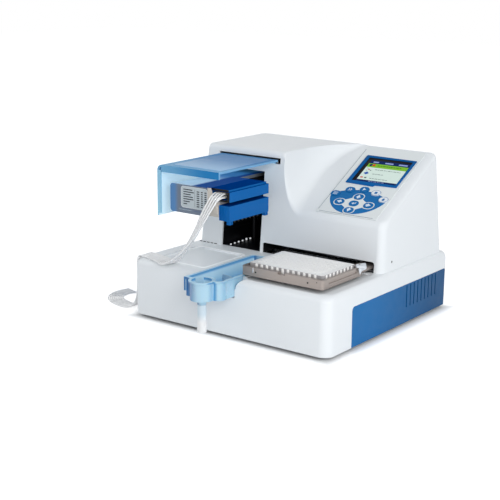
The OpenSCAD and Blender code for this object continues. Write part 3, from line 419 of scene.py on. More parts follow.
class Nodes:
    """A node tree that nodes are added to."""

    def __init__(self, tree):
        self.tree = tree

    def feed(self, socket, value):
        """Gives a socket its value or its link."""
        if isinstance(value, Value):
            self.tree.links.new(value.socket, socket)
        else:
            socket.default_value = value

    def node(self, kind, settings=None, sockets=None, output=0):
        """Adds a node, sets its settings and then its sockets, and gives one of its outputs."""
        made = self.tree.nodes.new(kind)
        for name, value in (settings or {}).items():
            setattr(made, name, value)
        for name, value in (sockets or {}).items():
            self.feed(made.inputs[name], value)
        return Value(self, made.outputs[output])

    def rays(self, *kinds):
        """1 for light paths of the given kinds, and 0 for all others."""
        others = 1
        for kind in kinds:
            others = others * (1 - self.node("ShaderNodeLightPath", output=f"Is {kind} Ray"))
        return 1 - others


class Finish(Nodes):
    """One procedural finish, whose colour, gloss and grain follow the piece's own coordinates."""

    def __init__(self, name, colour, roughness, **sockets):
        material = bpy.data.materials.new(name)
        material.use_nodes = True
        super().__init__(material.node_tree)
        self.shader = self.tree.nodes["Principled BSDF"]
        self.place = self.node("ShaderNodeTexCoord", output="Object")
        self.set(Base_Color=colour, Roughness=roughness, **sockets)
        FINISHES[name] = material

    def set(self, **sockets):
        """Gives the shader's sockets their values or links."""
        for name, value in sockets.items():
            self.feed(self.shader.inputs[name.replace("_", " ")], value)

    def noise(self, scale, detail, place=None):
        sockets = {"Scale": scale, "Detail": detail, "Vector": place or self.place}
        return self.node("ShaderNodeTexNoise", {}, sockets, "Fac")

    def part(self, vector, axis):
        """One of the three numbers of a vector."""
        return self.node("ShaderNodeSeparateXYZ", {}, {0: vector}, axis)

    def share(self, value, start, end, kind="SMOOTHSTEP"):
        """How far a number has come from start to end, from 0 to 1."""
        sockets = {"Value": value, "From Min": start, "From Max": end}
        return self.node("ShaderNodeMapRange", {"interpolation_type": kind}, sockets, "Result")

    def along(self, axis, start, end):
        """A share that rises between two places along an axis of the frame, in metres."""
        return self.share(self.part(self.place, axis), start, end)

    def facing(self, axis, start, end):
        """A share that rises the more a face looks along an axis."""
        return self.share(self.part(self.node("ShaderNodeTexCoord", output="Normal"), axis), start, end)

    def mix(self, share, first, second):
        """Passes from one colour to another with a share."""
        return self.node("ShaderNodeMix", {"data_type": "RGBA"}, {0: share, 6: first, 7: second}, 2)

    def gloss(self, pattern, low, high):
        """Roughness that wanders between two values with a pattern."""
        self.set(Roughness=low + (high - low) * self.share(pattern, 0.3, 0.7, "LINEAR"))

    def bump(self, height, strength, distance):
        sockets = {"Strength": strength, "Distance": distance, "Height": height}
        self.set(Normal=self.node("ShaderNodeBump", {}, sockets, "Normal"))


def moulded(name, colour, roughness, grain, tone, **sockets):
    """Moulded plastic: a cloudy tone, uneven gloss and a fine spark grain."""
    finish = Finish(name, colour, roughness, **{"Specular_IOR_Level": SHEEN, **sockets})
    cloud = finish.noise(9, 4)
    finish.set(Base_Color=finish.mix(cloud, shade(colour, 1 - tone), shade(colour, 1 + tone)))
    finish.gloss(finish.noise(60, 3), roughness - 0.06, roughness + 0.06)
    if grain:
        finish.bump(finish.noise(SPARK, 2), grain, 0.00006)


def glowing(name, colour, roughness, grain, tone, strength, **sockets):
    """Moulded plastic that also gives off a little of its own colour."""
    moulded(name, colour, roughness, grain, tone, Emission_Color=colour, Emission_Strength=strength, **sockets)


def graded(name, low, high, axis, start, end, roughness, **sockets):
    """Plastic whose tone passes from one colour to another along an axis."""
    finish = Finish(name, low, roughness, **{"Specular_IOR_Level": SHEEN, **sockets})
    tone = finish.mix(finish.along(axis, start, end), low, high)
    finish.set(Base_Color=finish.mix(finish.noise(14, 4) * 0.16, tone, shade(low, 0.8)))
    finish.gloss(finish.noise(70, 3), roughness - 0.05, roughness + 0.06)
    finish.bump(finish.noise(SPARK, 2), 0.08, 0.00005)


def brushed(name, colour, roughness, axis, tone, metallic=1.0):
    """Brushed or drawn metal: fine lines along one axis."""
    finish = Finish(name, colour, roughness, Metallic=metallic)
    stretch = [14 if a == axis else 900 for a in "XYZ"]
    place = finish.node("ShaderNodeMapping", {}, {"Vector": finish.place, "Scale": stretch}, "Vector")
    lines = finish.noise(1.0, 4, place)
    streaks = finish.mix(lines, shade(colour, 1 - tone), shade(colour, 1 + tone))
    finish.set(Base_Color=finish.mix(finish.noise(25, 3) * 0.5, streaks, shade(colour, 0.92)))
    finish.gloss(lines, roughness - 0.07, roughness + 0.1)
    finish.bump(lines, 0.12, 0.00003)


def pump_top_painted_light():
    """Painted light on the pump's top faces: pale and glowing a little, with painted shade that passes to blue at the
    back and to the cassette's dark blue at the right.
    """
    roof = Finish("pump_top_painted_light", rgb(216, 230, 238), 0.5, Specular_IOR_Level=0.05, Emission_Strength=0.14)
    tone = roof.mix(roof.along("Y", -0.085, -0.02), rgb(214, 230, 239), rgb(66, 134, 188))
    tone = roof.mix(roof.along("X", -0.079, -0.071), tone, rgb(0, 66, 138))
    tone = roof.mix(roof.noise(14, 4) * 0.12, tone, rgb(40, 90, 150))
    roof.set(Base_Color=tone, Emission_Color=tone)
    roof.bump(roof.noise(SPARK, 2), 0.06, 0.00005)


def tray_blue(colour):
    """The tray's outside, with painted shade: dark where it looks to the left and at its far left, darker towards its
    right, and a soft line of painted shade down its front.
    """
    tray = Finish(
        "tray_blue", colour, 0.3, Specular_IOR_Level=0.3, Coat_Weight=0.25,
        Subsurface_Weight=0.12, Subsurface_Scale=0.002,
    )
    # Painted shade: darker where faces look to the left, at the far left, in a line down the front and towards the
    # right
    dark = rgb(34, 104, 168)
    front = tray.mix(tray.facing("X", -0.7, 0.35), dark, rgb(180, 214, 230))
    front = tray.mix(tray.along("X", -0.036, -0.027), dark, front)
    groove = tray.mix(tray.along("X", GROOVE_X - 0.003, GROOVE_X), front, rgb(92, 158, 206))
    front = tray.mix(tray.along("X", GROOVE_X + 0.001, GROOVE_X + 0.005), groove, front)
    front = tray.mix(tray.along("X", 0.0155, 0.0205) * 0.5, front, rgb(96, 160, 208))
    tray.set(Base_Color=tray.mix(tray.noise(14, 4) * 0.14, front, rgb(120, 178, 216)))
    tray.gloss(tray.noise(70, 3), 0.25, 0.36)
    tray.bump(tray.noise(SPARK, 2), 0.06, 0.00005)


def tray_inside_painted_shade(colour):
    """The tray's inside, with painted shade: darker low down, paler upwards and darker again under its rim."""
    inner = Finish("tray_inside_painted_shade", colour, 0.34, Specular_IOR_Level=0.12)
    wall = inner.mix(inner.along("Z", 0.06, 0.084), rgb(146, 208, 244), rgb(204, 237, 250))
    wall = inner.mix(inner.along("Z", 0.0865, 0.0905), wall, rgb(104, 168, 216))
    inner.set(Base_Color=inner.mix(inner.noise(14, 4) * 0.12, wall, rgb(90, 150, 205)))
    inner.gloss(inner.noise(70, 3), 0.3, 0.4)


SCREEN_COLOURS = {
    "screen_lavender": (150, 166, 216), "screen_navy": (8, 36, 92), "screen_green": (128, 190, 52),
    "screen_dark_green": (52, 108, 44), "screen_mint": (222, 238, 228), "screen_grey": (96, 112, 112),
    "screen_red": (214, 66, 44), "screen_blue": (44, 92, 176), "screen_brown": (20, 17, 20),
}


class DISPENSER_OT_finishes(bpy.types.Operator):
    """Mix the procedural finishes"""

    bl_idname = "dispenser.finishes"
    bl_label = "Finishes"

    def execute(self, context):
        c = colours()
        dull = {"Specular_IOR_Level": 0.03}
        # Moulded plastic: name, colour, roughness, grain, cloudiness
        moulded("shell", c.shell, 0.4, 0.1, 0.012, Coat_Weight=0.12, Coat_Roughness=0.35)
        moulded("hood_blue", c.hood, 0.36, 0.08, 0.03)
        moulded("tray_rim", rgb(186, 222, 242), 0.36, 0.04, 0.04, Specular_IOR_Level=0.06)
        moulded("cassette_blue", c.cassette, 0.4, 0.1, 0.05, Specular_IOR_Level=0.15)
        # Darker navy for the cassette's top faces: painted shade
        moulded("cassette_painted_shade", rgb(0, 62, 134), 0.5, 0.1, 0.05, Specular_IOR_Level=0.0)
        moulded("label", rgb(192, 201, 205), 0.45, 0.03, 0.03)
        moulded("label_mark", rgb(30, 34, 44), 0.6, 0, 0.06)
        moulded("light_edge", rgb(222, 226, 230), 0.4, 0.02, 0.02)
        moulded("cream", rgb(206, 199, 190), 0.5, 0.08, 0.04)
        moulded("black", rgb(13, 13, 17), 0.36, 0.1, 0.1)
        moulded("overlay", c.overlay, 0.44, 0.1, 0.015)
        moulded("overlay_line", rgb(120, 132, 148), 0.5, 0, 0.04)
        moulded("key_white", rgb(231, 235, 240), 0.42, 0.06, 0.02)
        moulded("mark_white", rgb(226, 236, 246), 0.5, 0, 0.02)
        moulded("board", rgb(20, 92, 56), 0.5, 0.05, 0.1)
        moulded("rubber", rgb(22, 22, 24), 0.75, 0.3, 0.1)
        moulded("motor", rgb(24, 25, 28), 0.42, 0.12, 0.1)
        moulded("plate_plastic", rgb(253, 251, 248), 0.35, 0.02, 0.01, Coat_Weight=0.3)
        # Darker grey for the plate's upright sides: painted shade
        moulded("plate_side_painted_shade", rgb(168, 165, 166), 0.3, 0.04, 0.1)
        soft = {"Transmission_Weight": 0.16, "IOR": 1.25, "Coat_Weight": 0.4}
        moulded("tubing", rgb(250, 250, 250), 0.25, 0.02, 0.01, **soft)
        moulded("screen", rgb(16, 18, 30), 0.12, 0, 0.05, Coat_Weight=0.5)
        # The same with a faint glow, whose strength comes last: painted light on the deck ridge, the hood's inner
        # faces and the bay's teeth; on the display it is the screen's own light
        glowing("ridge_painted_highlight", rgb(250, 252, 253), 0.35, 0.05, 0.01, 0.05)
        glowing("hood_inside_painted_light", c.hood_inside_painted_light, 0.5, 0.06, 0.02, 0.34)
        glowing("teeth_painted_light", rgb(236, 238, 240), 0.5, 0, 0.02, 0.5)
        for name, values in SCREEN_COLOURS.items():
            glowing(name, rgb(*values), 0.3, 0, 0.04, 0.06, **dull)
        # Graded plastic: name, two colours, axis, start and end in metres, roughness
        # Painted shade: the hood's top and its raised panel are lighter at the front and darker towards the back
        graded("hood_top", rgb(118, 176, 216), rgb(62, 132, 188), "Y", -0.12, -0.02, 0.34, **dull)
        graded("hood_panel_painted_shade", rgb(176, 208, 238), rgb(92, 142, 194), "Y", -0.12, -0.02, 0.4, **dull)
        # Painted shade: the side panels pass from a lighter copy of their blue at the front to a darker one at the
        # back
        near, far = shade(c.side, 1.08), shade(c.side, 0.52)
        graded("panel_blue", near, far, "Y", -0.06, 0.19, 0.42, Specular_IOR_Level=0.14)
        # Painted light: the hood's lip is pale at its left end and passes to a deeper blue at the right
        left, right = rgb(118, 176, 214), rgb(24, 122, 186)
        graded("hood_lip_painted_light", left, right, "X", -0.135, -0.035, 0.36, Specular_IOR_Level=0.1)
        graded("hood_edge", rgb(160, 212, 234), rgb(150, 202, 230), "Z", 0.15, 0.23, 0.36)
        graded("pump_grey", rgb(150, 155, 160), c.pump, "Z", 0.168, 0.206, 0.36, Metallic=0.35)
        # Painted reflection: the end cover's left end takes the hood's blue, then passes to its own grey
        graded("pump_cover_painted_reflection", rgb(84, 130, 180), rgb(114, 123, 135), "X", -0.109, -0.1, 0.34, Metallic=0.25)
        # Painted shade: the bezel and the keypad pass to darker copies of their blue towards the top of the slope
        graded("bezel_blue", c.bezel, shade(c.bezel, 0.8), "Y", 0.08, 0.14, 0.4, Specular_IOR_Level=0.04)
        graded("key_blue", c.keypad, shade(c.keypad, 0.86), "Y", 0.0, 0.07, 0.42, Specular_IOR_Level=0.08)
        graded("drain_clear", rgb(240, 240, 240), rgb(206, 222, 232), "Z", 0.03, 0.046, 0.3)
        # Metal: name, colour, roughness, axis of the lines, their depth of tone
        brushed("carrier_metal", c.carrier, 0.38, "X", 0.06, 0.6)
        brushed("sheet_metal", rgb(176, 178, 180), 0.4, "X", 0.08)
        brushed("steel", rgb(196, 198, 202), 0.22, "Z", 0.06)
        brushed("dark_steel", rgb(58, 56, 56), 0.3, "Z", 0.1)
        pump_top_painted_light()
        tray_blue(c.tray)
        tray_inside_painted_shade(c.tray)
        return {"FINISHED"}


# Camera, table and light

AZIMUTH, ELEVATION, ROLL = (math.radians(angle) for angle in (37.01, 13.96, -0.40))
CAMERA_PLACE = (0.9596, -1.3521, 0.5138)
# Half the width and depth of the base, in metres
FOOT_HALF = (0.176, 0.168)
LAMP_AIM = Vector((0.02, 0, 0.1))
# Name, place and width in metres, power in watts
LAMPS = (
    ("key", (2.2, -0.7, 1.3), 1.6, 19.5),
    ("front", (0.84, -1.0, 0.62), 0.7, 4.5),
    ("left", (-1.6, -0.35, 1.0), 1.0, 7),
)


def add_camera(scene):
    """Looks at the dispenser from the photograph's place."""
    lens = bpy.data.cameras.new("Camera")
    lens.lens = 81.73
    lens.sensor_width = 36
    lens.clip_start = 0.05
    lens.clip_end = 60
    camera = bpy.data.objects.new("Camera", lens)
    scene.collection.objects.link(camera)
    ahead = Vector((
        -math.sin(AZIMUTH) * math.cos(ELEVATION), math.cos(AZIMUTH) * math.cos(ELEVATION), -math.sin(ELEVATION)
    ))
    right = Vector((math.cos(AZIMUTH), math.sin(AZIMUTH), 0))
    down = ahead.cross(right)
    side = math.cos(ROLL) * right + math.sin(ROLL) * down
    up = math.sin(ROLL) * right - math.cos(ROLL) * down
    turn = Matrix((side, up, -ahead)).transposed().to_4x4()
    camera.matrix_world = Matrix.Translation(CAMERA_PLACE) @ turn
    scene.camera = camera


def table_top():
    """White that glows to pure white away from the foot; near the foot the glow fades out, a painted shade round the
    base in which the lamps' soft shadow shows.
    """
    top = Finish("table_top", (0.92, 0.92, 0.92, 1), 0.6, Specular_IOR_Level=0.0)
    top.set(Base_Color=top.mix(top.noise(3, 3), (0.93, 0.93, 0.93, 1), (0.95, 0.95, 0.95, 1)))

    def vector(operation, first, second=(0, 0, 0)):
        return top.node("ShaderNodeVectorMath", {"operation": operation}, {0: first, 1: second}, "Vector")

    centred = vector("SUBTRACT", top.place, (0, SHIFT_Y, 0))
    scaled = vector("ABSOLUTE", vector("MULTIPLY", centred, (1 / FOOT_HALF[0], 1 / FOOT_HALF[1], 0)))
    reach = top.node("ShaderNodeMath", {"operation": "MAXIMUM"}, {0: top.part(scaled, "X"), 1: top.part(scaled, "Y")})
    # No glow near the foot: painted shade round the base
    strength = top.rays("Camera", "Glossy") * (0.62 * top.share(reach, 0.97, 1.12))
    glow = top.node("ShaderNodeEmission", {}, {"Color": WHITE, "Strength": strength})
    both = top.node("ShaderNodeAddShader", {}, {0: Value(top, top.shader.outputs[0]), 1: glow})
    top.feed(top.tree.nodes["Material Output"].inputs["Surface"], both)


def add_table():
    deselect()
    bpy.ops.mesh.primitive_grid_add(
        x_subdivisions=24, y_subdivisions=24, size=sizes().floor, location=(0, 0, -0.0004)
    )
    table = bpy.context.object
    table.name = "table"
    bpy.ops.object.transform_apply(location=True, rotation=True, scale=True)
    bpy.ops.object.shade_smooth()
    table_top()
    table.data.materials.append(FINISHES["table_top"])


def add_backdrop(scene):
    """White where it is seen, and a cool, weaker fill where it lights."""
    scene.world = bpy.data.worlds.new("Studio")
    scene.world.use_nodes = True
    studio = Nodes(scene.world.node_tree)
    studio.tree.nodes.remove(studio.tree.nodes["Background"])
    seen = studio.node("ShaderNodeBackground", {}, {"Color": WHITE, "Strength": 1.0})
    fill = studio.node("ShaderNodeBackground", {}, {"Color": (0.9, 0.95, 1.0, 1), "Strength": 0.46})
    looks = studio.rays("Camera", "Glossy", "Transmission")
    both = studio.node("ShaderNodeMixShader", {}, {0: looks, 1: fill, 2: seen})
    studio.feed(studio.tree.nodes["World Output"].inputs["Surface"], both)


def add_lamp(scene, name, place, width, power):
    data = bpy.data.lights.new(name, "AREA")
    data.shape = "DISK"
    data.size = width
    data.energy = power
    lamp = bpy.data.objects.new(name, data)
    scene.collection.objects.link(lamp)
    aim = LAMP_AIM - Vector(place)
    lamp.matrix_world = Matrix.Translation(place) @ aim.to_track_quat("-Z", "Y").to_matrix().to_4x4()


class DISPENSER_OT_stage(bpy.types.Operator):
    """Set up the camera, the table, the backdrop and the studio light"""

    bl_idname = "dispenser.stage"
    bl_label = "Stage"

    def execute(self, context):
        scene = context.scene
        scene.view_settings.view_transform = "Standard"
        add_camera(scene)
        add_table()
        add_backdrop(scene)
        for lamp in LAMPS:
            add_lamp(scene, *lamp)
        return {"FINISHED"}


# Free tubing

# From tube to tube in the head's mouth and in the row on the table, in millimetres
MOUTH_PITCH = 5.2
ROW_PITCH = 3.4
# How many steps of the route hang free before the deck
HANGING = 10
# The middle of the row of tubes, and the way that the row points there, in degrees
TUBE_ROUTE = [
    (-24, -149, 202, 0), (-24, -154, 201.5, -2), (-26, -160, 197, -8), (-30, -165, 187, -18),
    (-35.5, -169, 174, -31), (-42, -172.5, 159, -46), (-50, -175, 143, -62), (-61, -176.5, 126, -78),
    (-75, -175.5, 111, -92), (-91, -171, 99.5, -104), (-107, -165.5, 92.2, -112), (-123, -156, 91.3, -114),
    (-139, -150, 91.3, -110), (-153, -146, 91.3, -103), (-164, -144, 91.4, -95), (-171.5, -143, 91.2, -90),
    (-176, -142.6, 89, -90), (-178.4, -142.3, 83.5, -90), (-179, -142, 72, -90), (-179.5, -141.5, 56, -90),
    (-180.6, -141, 39, -90), (-183.5, -140.5, 23, -91), (-190, -140, 11, -93), (-201, -139, 4, -95),
    (-216, -137.5, 1.4, -98), (-232, -134.5, 1.4, -103), (-247, -129, 1.4, -113), (-260, -119, 1.4, -129),
    (-268, -105, 1.4, -150), (-270, -89, 1.4, -172), (-266, -73, 1.4, -196),
]


def tube_path(i):
    """The points that one tube follows, from its own place in the head's mouth to its row on the table."""
    column, row = i % 4 - 1.5, i // 4 - 0.5
    mouth = Vector((-24 + column * MOUTH_PITCH, -148.69, 201.25 + row * MOUTH_PITCH))
    start = mouth - Vector(TUBE_ROUTE[0][:3])
    points = []
    for k, (x, y, z, heading) in enumerate(TUBE_ROUTE):
        share = min(1, k / HANGING)
        across = Vector((math.cos(math.radians(heading)), math.sin(math.radians(heading)), 0))
        points.append(at(*(Vector((x, y, z)) + start * (1 - share) + across * (i - 3.5) * ROW_PITCH * share)))
    return points


class DISPENSER_OT_tubing(bpy.types.Operator):
    """Lay the eight free tubes from the head to the table"""

    bl_idname = "dispenser.tubing"
    bl_label = "Free tubing"

    def execute(self, context):
        width = sizes().tube
        for i in range(8):
            points = tube_path(i)
            line = bpy.data.curves.new(f"tube_line_{i + 1}", "CURVE")
            line.dimensions = "3D"
            line.bevel_depth = width / 2
            line.bevel_resolution = 3
            line.resolution_u = 6
            line.use_fill_caps = True
            spline = line.splines.new("BEZIER")
            spline.bezier_points.add(len(points) - 1)
            for k, (knot, point) in enumerate(zip(spline.bezier_points, points)):
                before, after = points[max(k - 1, 0)], points[min(k + 1, len(points) - 1)]
                lean = (after - before).normalized()
                knot.co = point
                knot.handle_left_type = knot.handle_right_type = "FREE"
                knot.handle_left = point - lean * (point - before).length / 3
                knot.handle_right = point + lean * (after - point).length / 3
            tube = bpy.data.objects.new(f"free_tube_{i + 1}", line)
            context.scene.collection.objects.link(tube)
            work_on(tube)
            bpy.ops.object.convert(target="MESH")
            bpy.ops.object.shade_smooth()
            tube = context.object
            tube.data.materials.clear()
            tube.data.materials.append(FINISHES["tubing"])
            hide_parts(f"tube_{i + 1}")
            at(*TUBE_ROUTE[HANGING][:3])
            at(*TUBE_ROUTE[0][:3])
            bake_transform(tube)
        return {"FINISHED"}


# Mouldings


class DISPENSER_OT_mouldings(bpy.types.Operator):
    """Smooth the white base and the upper housing"""

    bl_idname = "dispenser.mouldings"
    bl_label = "White mouldings"

    def execute(self, context):
        refined("base_moulding", "base_shell", "shell", 0.0005, smooth=50, flat=0.3)
        refined("housing_moulding", "rear_housing", "shell", 0.0005, 2, 45, 50, flat=0.3)
        # Dark joint slots along the tower's foot
        starts = (-166, -158.6, -151.2, -143.8, -136.4)
        marks = [slab("joint", (x, -21.6, 89.95), (x + 5, -20.6, 90.9), 0.2) for x in starts]
        finished(settle(joined("tower_joint", marks)), "frame", "black")
        screw = stick("side_screw", 167.75, 8.7, 103.2, 1.7, 0.5, "X")
        finished(settle(screw), "frame", "dark_steel")
        # Soft ridge round the left deck recess, whiter than the shell and glowing a little: a painted highlight
        ridge = rim("recess_ridge", rounded_outline(-98, -97, 91, 103, 8.5), 3.4, 0.9, 89.6)
        soften(ridge, 0.4, 3, 40)
        finished(settle(ridge), "frame", "ridge_painted_highlight")
        return {"FINISHED"}


class DISPENSER_OT_side_panels(bpy.types.Operator):
    """Finish the blue side panels with their dark slots"""

    bl_idname = "dispenser.side_panels"
    bl_label = "Side panels"

    def execute(self, context):
        # The side panels darken towards the back: painted shade
        refined("vent_panels", "side_panels", "panel_blue", 0.0004, smooth=45)
        return {"FINISHED"}


class DISPENSER_OT_hood(bpy.types.Operator):
    """Finish the hinged hood: its top and lip, with painted shade and light, and its inner faces, pale and glowing as
    painted light
    """

    bl_idname = "dispenser.hood"
    bl_label = "Hood"

    def execute(self, context):
        hood = refined("hood_shell", "pump_hood", "hood_blue", 0.0009, 3, 40, 50)
        front = at(0, -152, 0).y
        left = at(-125, 0, 0).x
        lip_foot = 0.222
        # The hood's top faces darken towards the back: painted shade
        tint(hood, "hood_top", lambda c, n: n.z > 0.6)
        # The hood's inner faces are pale and glow a little: painted light through the translucent walls
        tint(hood, "hood_inside_painted_light", lambda c, n: (n.x > 0.6 and c.x < left) or n.z < -0.6)
        # The lip's pale left end is painted light
        tint(hood, "hood_lip_painted_light", lambda c, n: c.y < front and c.z > lip_foot and n.z < 0.7)
        tint(hood, "hood_edge", lambda c, n: c.y < front and c.z <= lip_foot)
        tint(hood, "hood_blue", lambda c, n: n.x > 0.2 and -0.95 < n.z < -0.1 and c.x < left)
        # The raised panel on the hood's top darkens towards the back too: painted shade
        panel = plate("hood_panel", rounded_outline(-70, -84, 88, 120, 5), 0.8, 234.8)
        soften(panel, 0.3, 2, 50)
        finished(settle(panel), "hood", "hood_panel_painted_shade")
        return {"FINISHED"}


class DISPENSER_OT_pump(bpy.types.Operator):
    """Finish the pump: its plates, end cover and plain label, with painted light on its top faces and a painted
    reflection on the cover
    """

    bl_idname = "dispenser.pump"
    bl_label = "Pump"

    def execute(self, context):
        plates = refined("pump_plates", "pump_frame", "pump_grey", 0.0005)
        # The top faces of the plates and the cover are pale and glow a little: painted light
        tint(plates, "pump_top_painted_light", lambda c, n: n.z > 0.6 and c.z > 0.19)
        # The cover's bluish left end is a painted reflection of the hood
        cover = refined("pump_front", "pump_end_cover", "pump_cover_painted_reflection", 0.0007, 3, 40, 45)
        tint(cover, "pump_top_painted_light", lambda c, n: n.z > 0.6)
        label = plate("pump_label", rounded_outline(-70.5, 191.3, 49, 31, 4), 0.5)
        soften(label, 0.15, 2, 50)
        face = Matrix.Translation(at(0, -148.3, 0)) @ Matrix.Rotation(math.radians(90), 4, "X")
        finished(settle(label, face), "head", "label")
        edge = rim("label_edge", rounded_outline(-70.5, 191.3, 49.6, 31.6, 4.3), 0.7, 0.35, 0.5)
        finished(settle(edge, face), "head", "light_edge")
        # Plain bars that stand for the lines of print: left edge, middle up, width, height
        lines = [(-91, 202.4 - i * 3.5, w, 1.4) for i, w in enumerate((17, 20, 14, 18, 19, 12, 7))]
        for i in range(8):
            lines += [(x, 201.2 - i * 3.1, w, 1.5) for x, w in ((-66, 5), (-58, 3.4), (-51.5, 3.8))]
        bars = [plate("bar", bar(x + w / 2, z, w, h, 0.4), 0.12, 0.5) for x, z, w, h in lines]
        bars.append(plate("bar", bar(-69.5, 191, 0.3, 26, 0.1), 0.12, 0.5))
        finished(settle(joined("label_marks", bars), face), "head", "label_mark")
        return {"FINISHED"}


class DISPENSER_OT_cassette(bpy.types.Operator):
    """Finish the tube holder, the tip holder and their cream core, with painted shade on their tops and inside the
    mouth
    """

    bl_idname = "dispenser.cassette"
    bl_label = "Cassette"

    def execute(self, context):
        upper = refined("cassette_tubes", "tube_holder", "cassette_blue", 0.0005, smooth=35)
        # The top faces are a darker navy: painted shade
        tint(upper, "cassette_painted_shade", lambda c, n: n.z > 0.6)
        # The faces inside the mouth are black: painted shade in the opening
        mouth_back = at(0, -136.14, 0).y
        tint(upper, "black", lambda c, n: c.y < mouth_back and c.x < -0.0075 and max(n.z, n.x) < 0.6)
        lower = refined("cassette_tips", "tip_holder", "cassette_blue", 0.0004, smooth=35)
        # The top faces are a darker navy: painted shade
        tint(lower, "cassette_painted_shade", lambda c, n: n.z > 0.6)
        middle = refined("cassette_middle", "cassette_core", "cream", 0.0006, smooth=35)
        # The core's top faces and its upper part get the same painted shade
        tint(middle, "cassette_painted_shade", lambda c, n: c.z > 0.2 or n.z > 0.6)
        starts = (-24.2, -21.1, -18.0, -14.9)
        ribs = [slab("rib", (x, -149.4, 166.5), (x + 1.3, -148.5, 186), 0, 0.25) for x in starts]
        finished(settle(joined("tip_holder_ribs", ribs)), "head", "cassette_blue")
        refined("tip_needles", "dispensing_tips", "dark_steel", 0, 1, 40, 40)
        return {"FINISHED"}


class DISPENSER_OT_tray(bpy.types.Operator):
    """Finish the priming tray and its drain tube"""

    bl_idname = "dispenser.tray"
    bl_label = "Priming tray"

    def execute(self, context):
        # The tray's faces carry painted shade, outside and in
        tray = refined("tray_moulding", "priming_tray", "tray_blue", 0.0004, 2, 45, 50)
        middle = at(-9, -207, 0)
        cup_back = at(0, -186, 0).y
        below_rim = 0.086

        def inner(c, n):
            """Whether a face looks into the cup or into the channel."""
            if c.y < cup_back:
                looks_in = n.x * (middle.x - c.x) + n.y * (middle.y - c.y)
                return (n.z < 0.7 and looks_in > 0.005) or (n.z > 0.6 and c.z < below_rim)
            return (n.x > 0.5 and c.x < -0.02) or (n.x < -0.5 and c.x > 0) or (n.z > 0.5 and c.z < below_rim)

        # The faces that look into the cup and the channel get the inside's painted shade
        tint(tray, "tray_inside_painted_shade", inner)
        tint(tray, "tray_rim", lambda c, n: n.z > 0.6 and c.z > 0.0905)
        baffle = slab("tray_baffle", (-9, -161.2, 65), (17.4, -159.4, 90.6), 0, 0.6)
        finished(settle(baffle), "frame", "tray_blue")
        refined("waste_tube", "drain_tube", "drain_clear", 0.0003, 2, 45, 45)
        return {"FINISHED"}


class DISPENSER_OT_carrier(bpy.types.Operator):
    """Finish the plate carrier, its lever, pins and boss, and black discs of painted shade for its holes"""

    bl_idname = "dispenser.carrier"
    bl_label = "Plate carrier"

    def execute(self, context):
        refined("carrier_frame", "plate_carrier", "carrier_metal", 0.0005)
        refined("corner_lever", "plate_clip", "key_white", 0.0004)
        fold = plate("fold", [(-66, 107.2), (-62.6, 97.8), (-58.4, 101.8), (-47.6, 102.3), (-47.6, 107.2)], 1.1)
        soften(fold, 0.2, 2, 40)
        side = Matrix.Translation(at(158, 0, 0)) @ Matrix(((0, 0, 1, 0), (1, 0, 0, 0), (0, 1, 0, 0), (0, 0, 0, 1)))
        finished(settle(fold, side), "clip", "key_white")
        # Black discs stand for the holes: painted shade
        holes = [
            stick("hole", x, -152.45, z, radius, 0.5, "Y")
            for x, z, radius in ((43.2, 100.5, 1.2), (131.2, 100.5, 1.2), (146, 103.3, 0.8))
        ]
        finished(settle(joined("carrier_holes_painted_shade", holes)), "carrier", "black")
        boss = stick("carrier_boss", 36, -147, 92.9, 2.2, 1.3, "Z")
        finished(settle(boss), "carrier", "motor")
        pins = [stick("pin", 38.6, -151.6, 99.4, 1.2, 6.8, "Z"), stick("pin", 150, -55, 106, 1.2, 1.6, "Z")]
        finished(settle(joined("carrier_pins", pins)), "carrier", "steel")
        return {"FINISHED"}


# The microplate's middle, top and wells, in millimetres
PLATE_X = 87.2
PLATE_Y = -101.64
PLATE_TOP = 96.5 + 14.35
WELL_PITCH = 9
WELL_RADIUS = 3.6


class DISPENSER_OT_microplate(bpy.types.Operator):
    """Finish the microplate with its well rims, filled wells and ribbed skirt"""

    bl_idname = "dispenser.microplate"
    bl_label = "Microplate"

    def execute(self, context):
        body = refined("plate_body", "microplate", "plate_plastic", 0.0003, 1, 45, 35)
        middle = at(PLATE_X, PLATE_Y, 0)
        # The skirt's upright faces are darker grey: painted shade on the plate's sides
        tint(body, "plate_side_painted_shade", lambda c, n: abs(n.z) < 0.5 and (
            abs(c.x - middle.x) > 0.0585 or abs(c.y - middle.y) > 0.0375))
        first_x, first_y = PLATE_X - 5.5 * WELL_PITCH, PLATE_Y - 3.5 * WELL_PITCH
        deselect()
        bpy.ops.mesh.primitive_torus_add(
            location=(first_x, first_y, PLATE_TOP), major_radius=WELL_RADIUS, minor_radius=0.22,
            major_segments=20, minor_segments=6,
        )
        rims = context.object
        rims.name = "well_rims"
        bpy.ops.object.transform_apply(location=True, rotation=True, scale=True)
        fill = stick("well_fill", first_x, first_y, PLATE_TOP - 9, WELL_RADIUS, 8.95, "Z", 16)
        for piece, smooth in ((rims, 60), (fill, 40)):
            repeated(piece, 12, (WELL_PITCH, 0, 0))
            repeated(piece, 8, (0, WELL_PITCH, 0))
            finished(settle(piece), "carrier", "plate_plastic", smooth)
        columns = [PLATE_X + (i - 5.5) * WELL_PITCH for i in range(12)]
        rows = [PLATE_Y + (j - 3.5) * WELL_PITCH for j in range(8)]
        places = [(x, y) for x in columns for y in (PLATE_Y - 37.54, PLATE_Y + 37.54)]
        places += [(x, y) for y in rows for x in (PLATE_X - 58.68, PLATE_X + 58.68)]
        ribs = [stick("rib", x, y, PLATE_TOP - 11.8, 4.1, 11.6, "Z", 20) for x, y in places]
        finished(settle(joined("plate_scallops", ribs)), "carrier", "plate_plastic", 40)
        return {"FINISHED"}


# Control panel

# Five keys on an arc over the pad, and the five of the pad
ARC_KEYS = ["menu", "prime", "start", "stop", "empty"]
ARC_MIDDLE = 8.4
ARC_RADIUS = 59.5
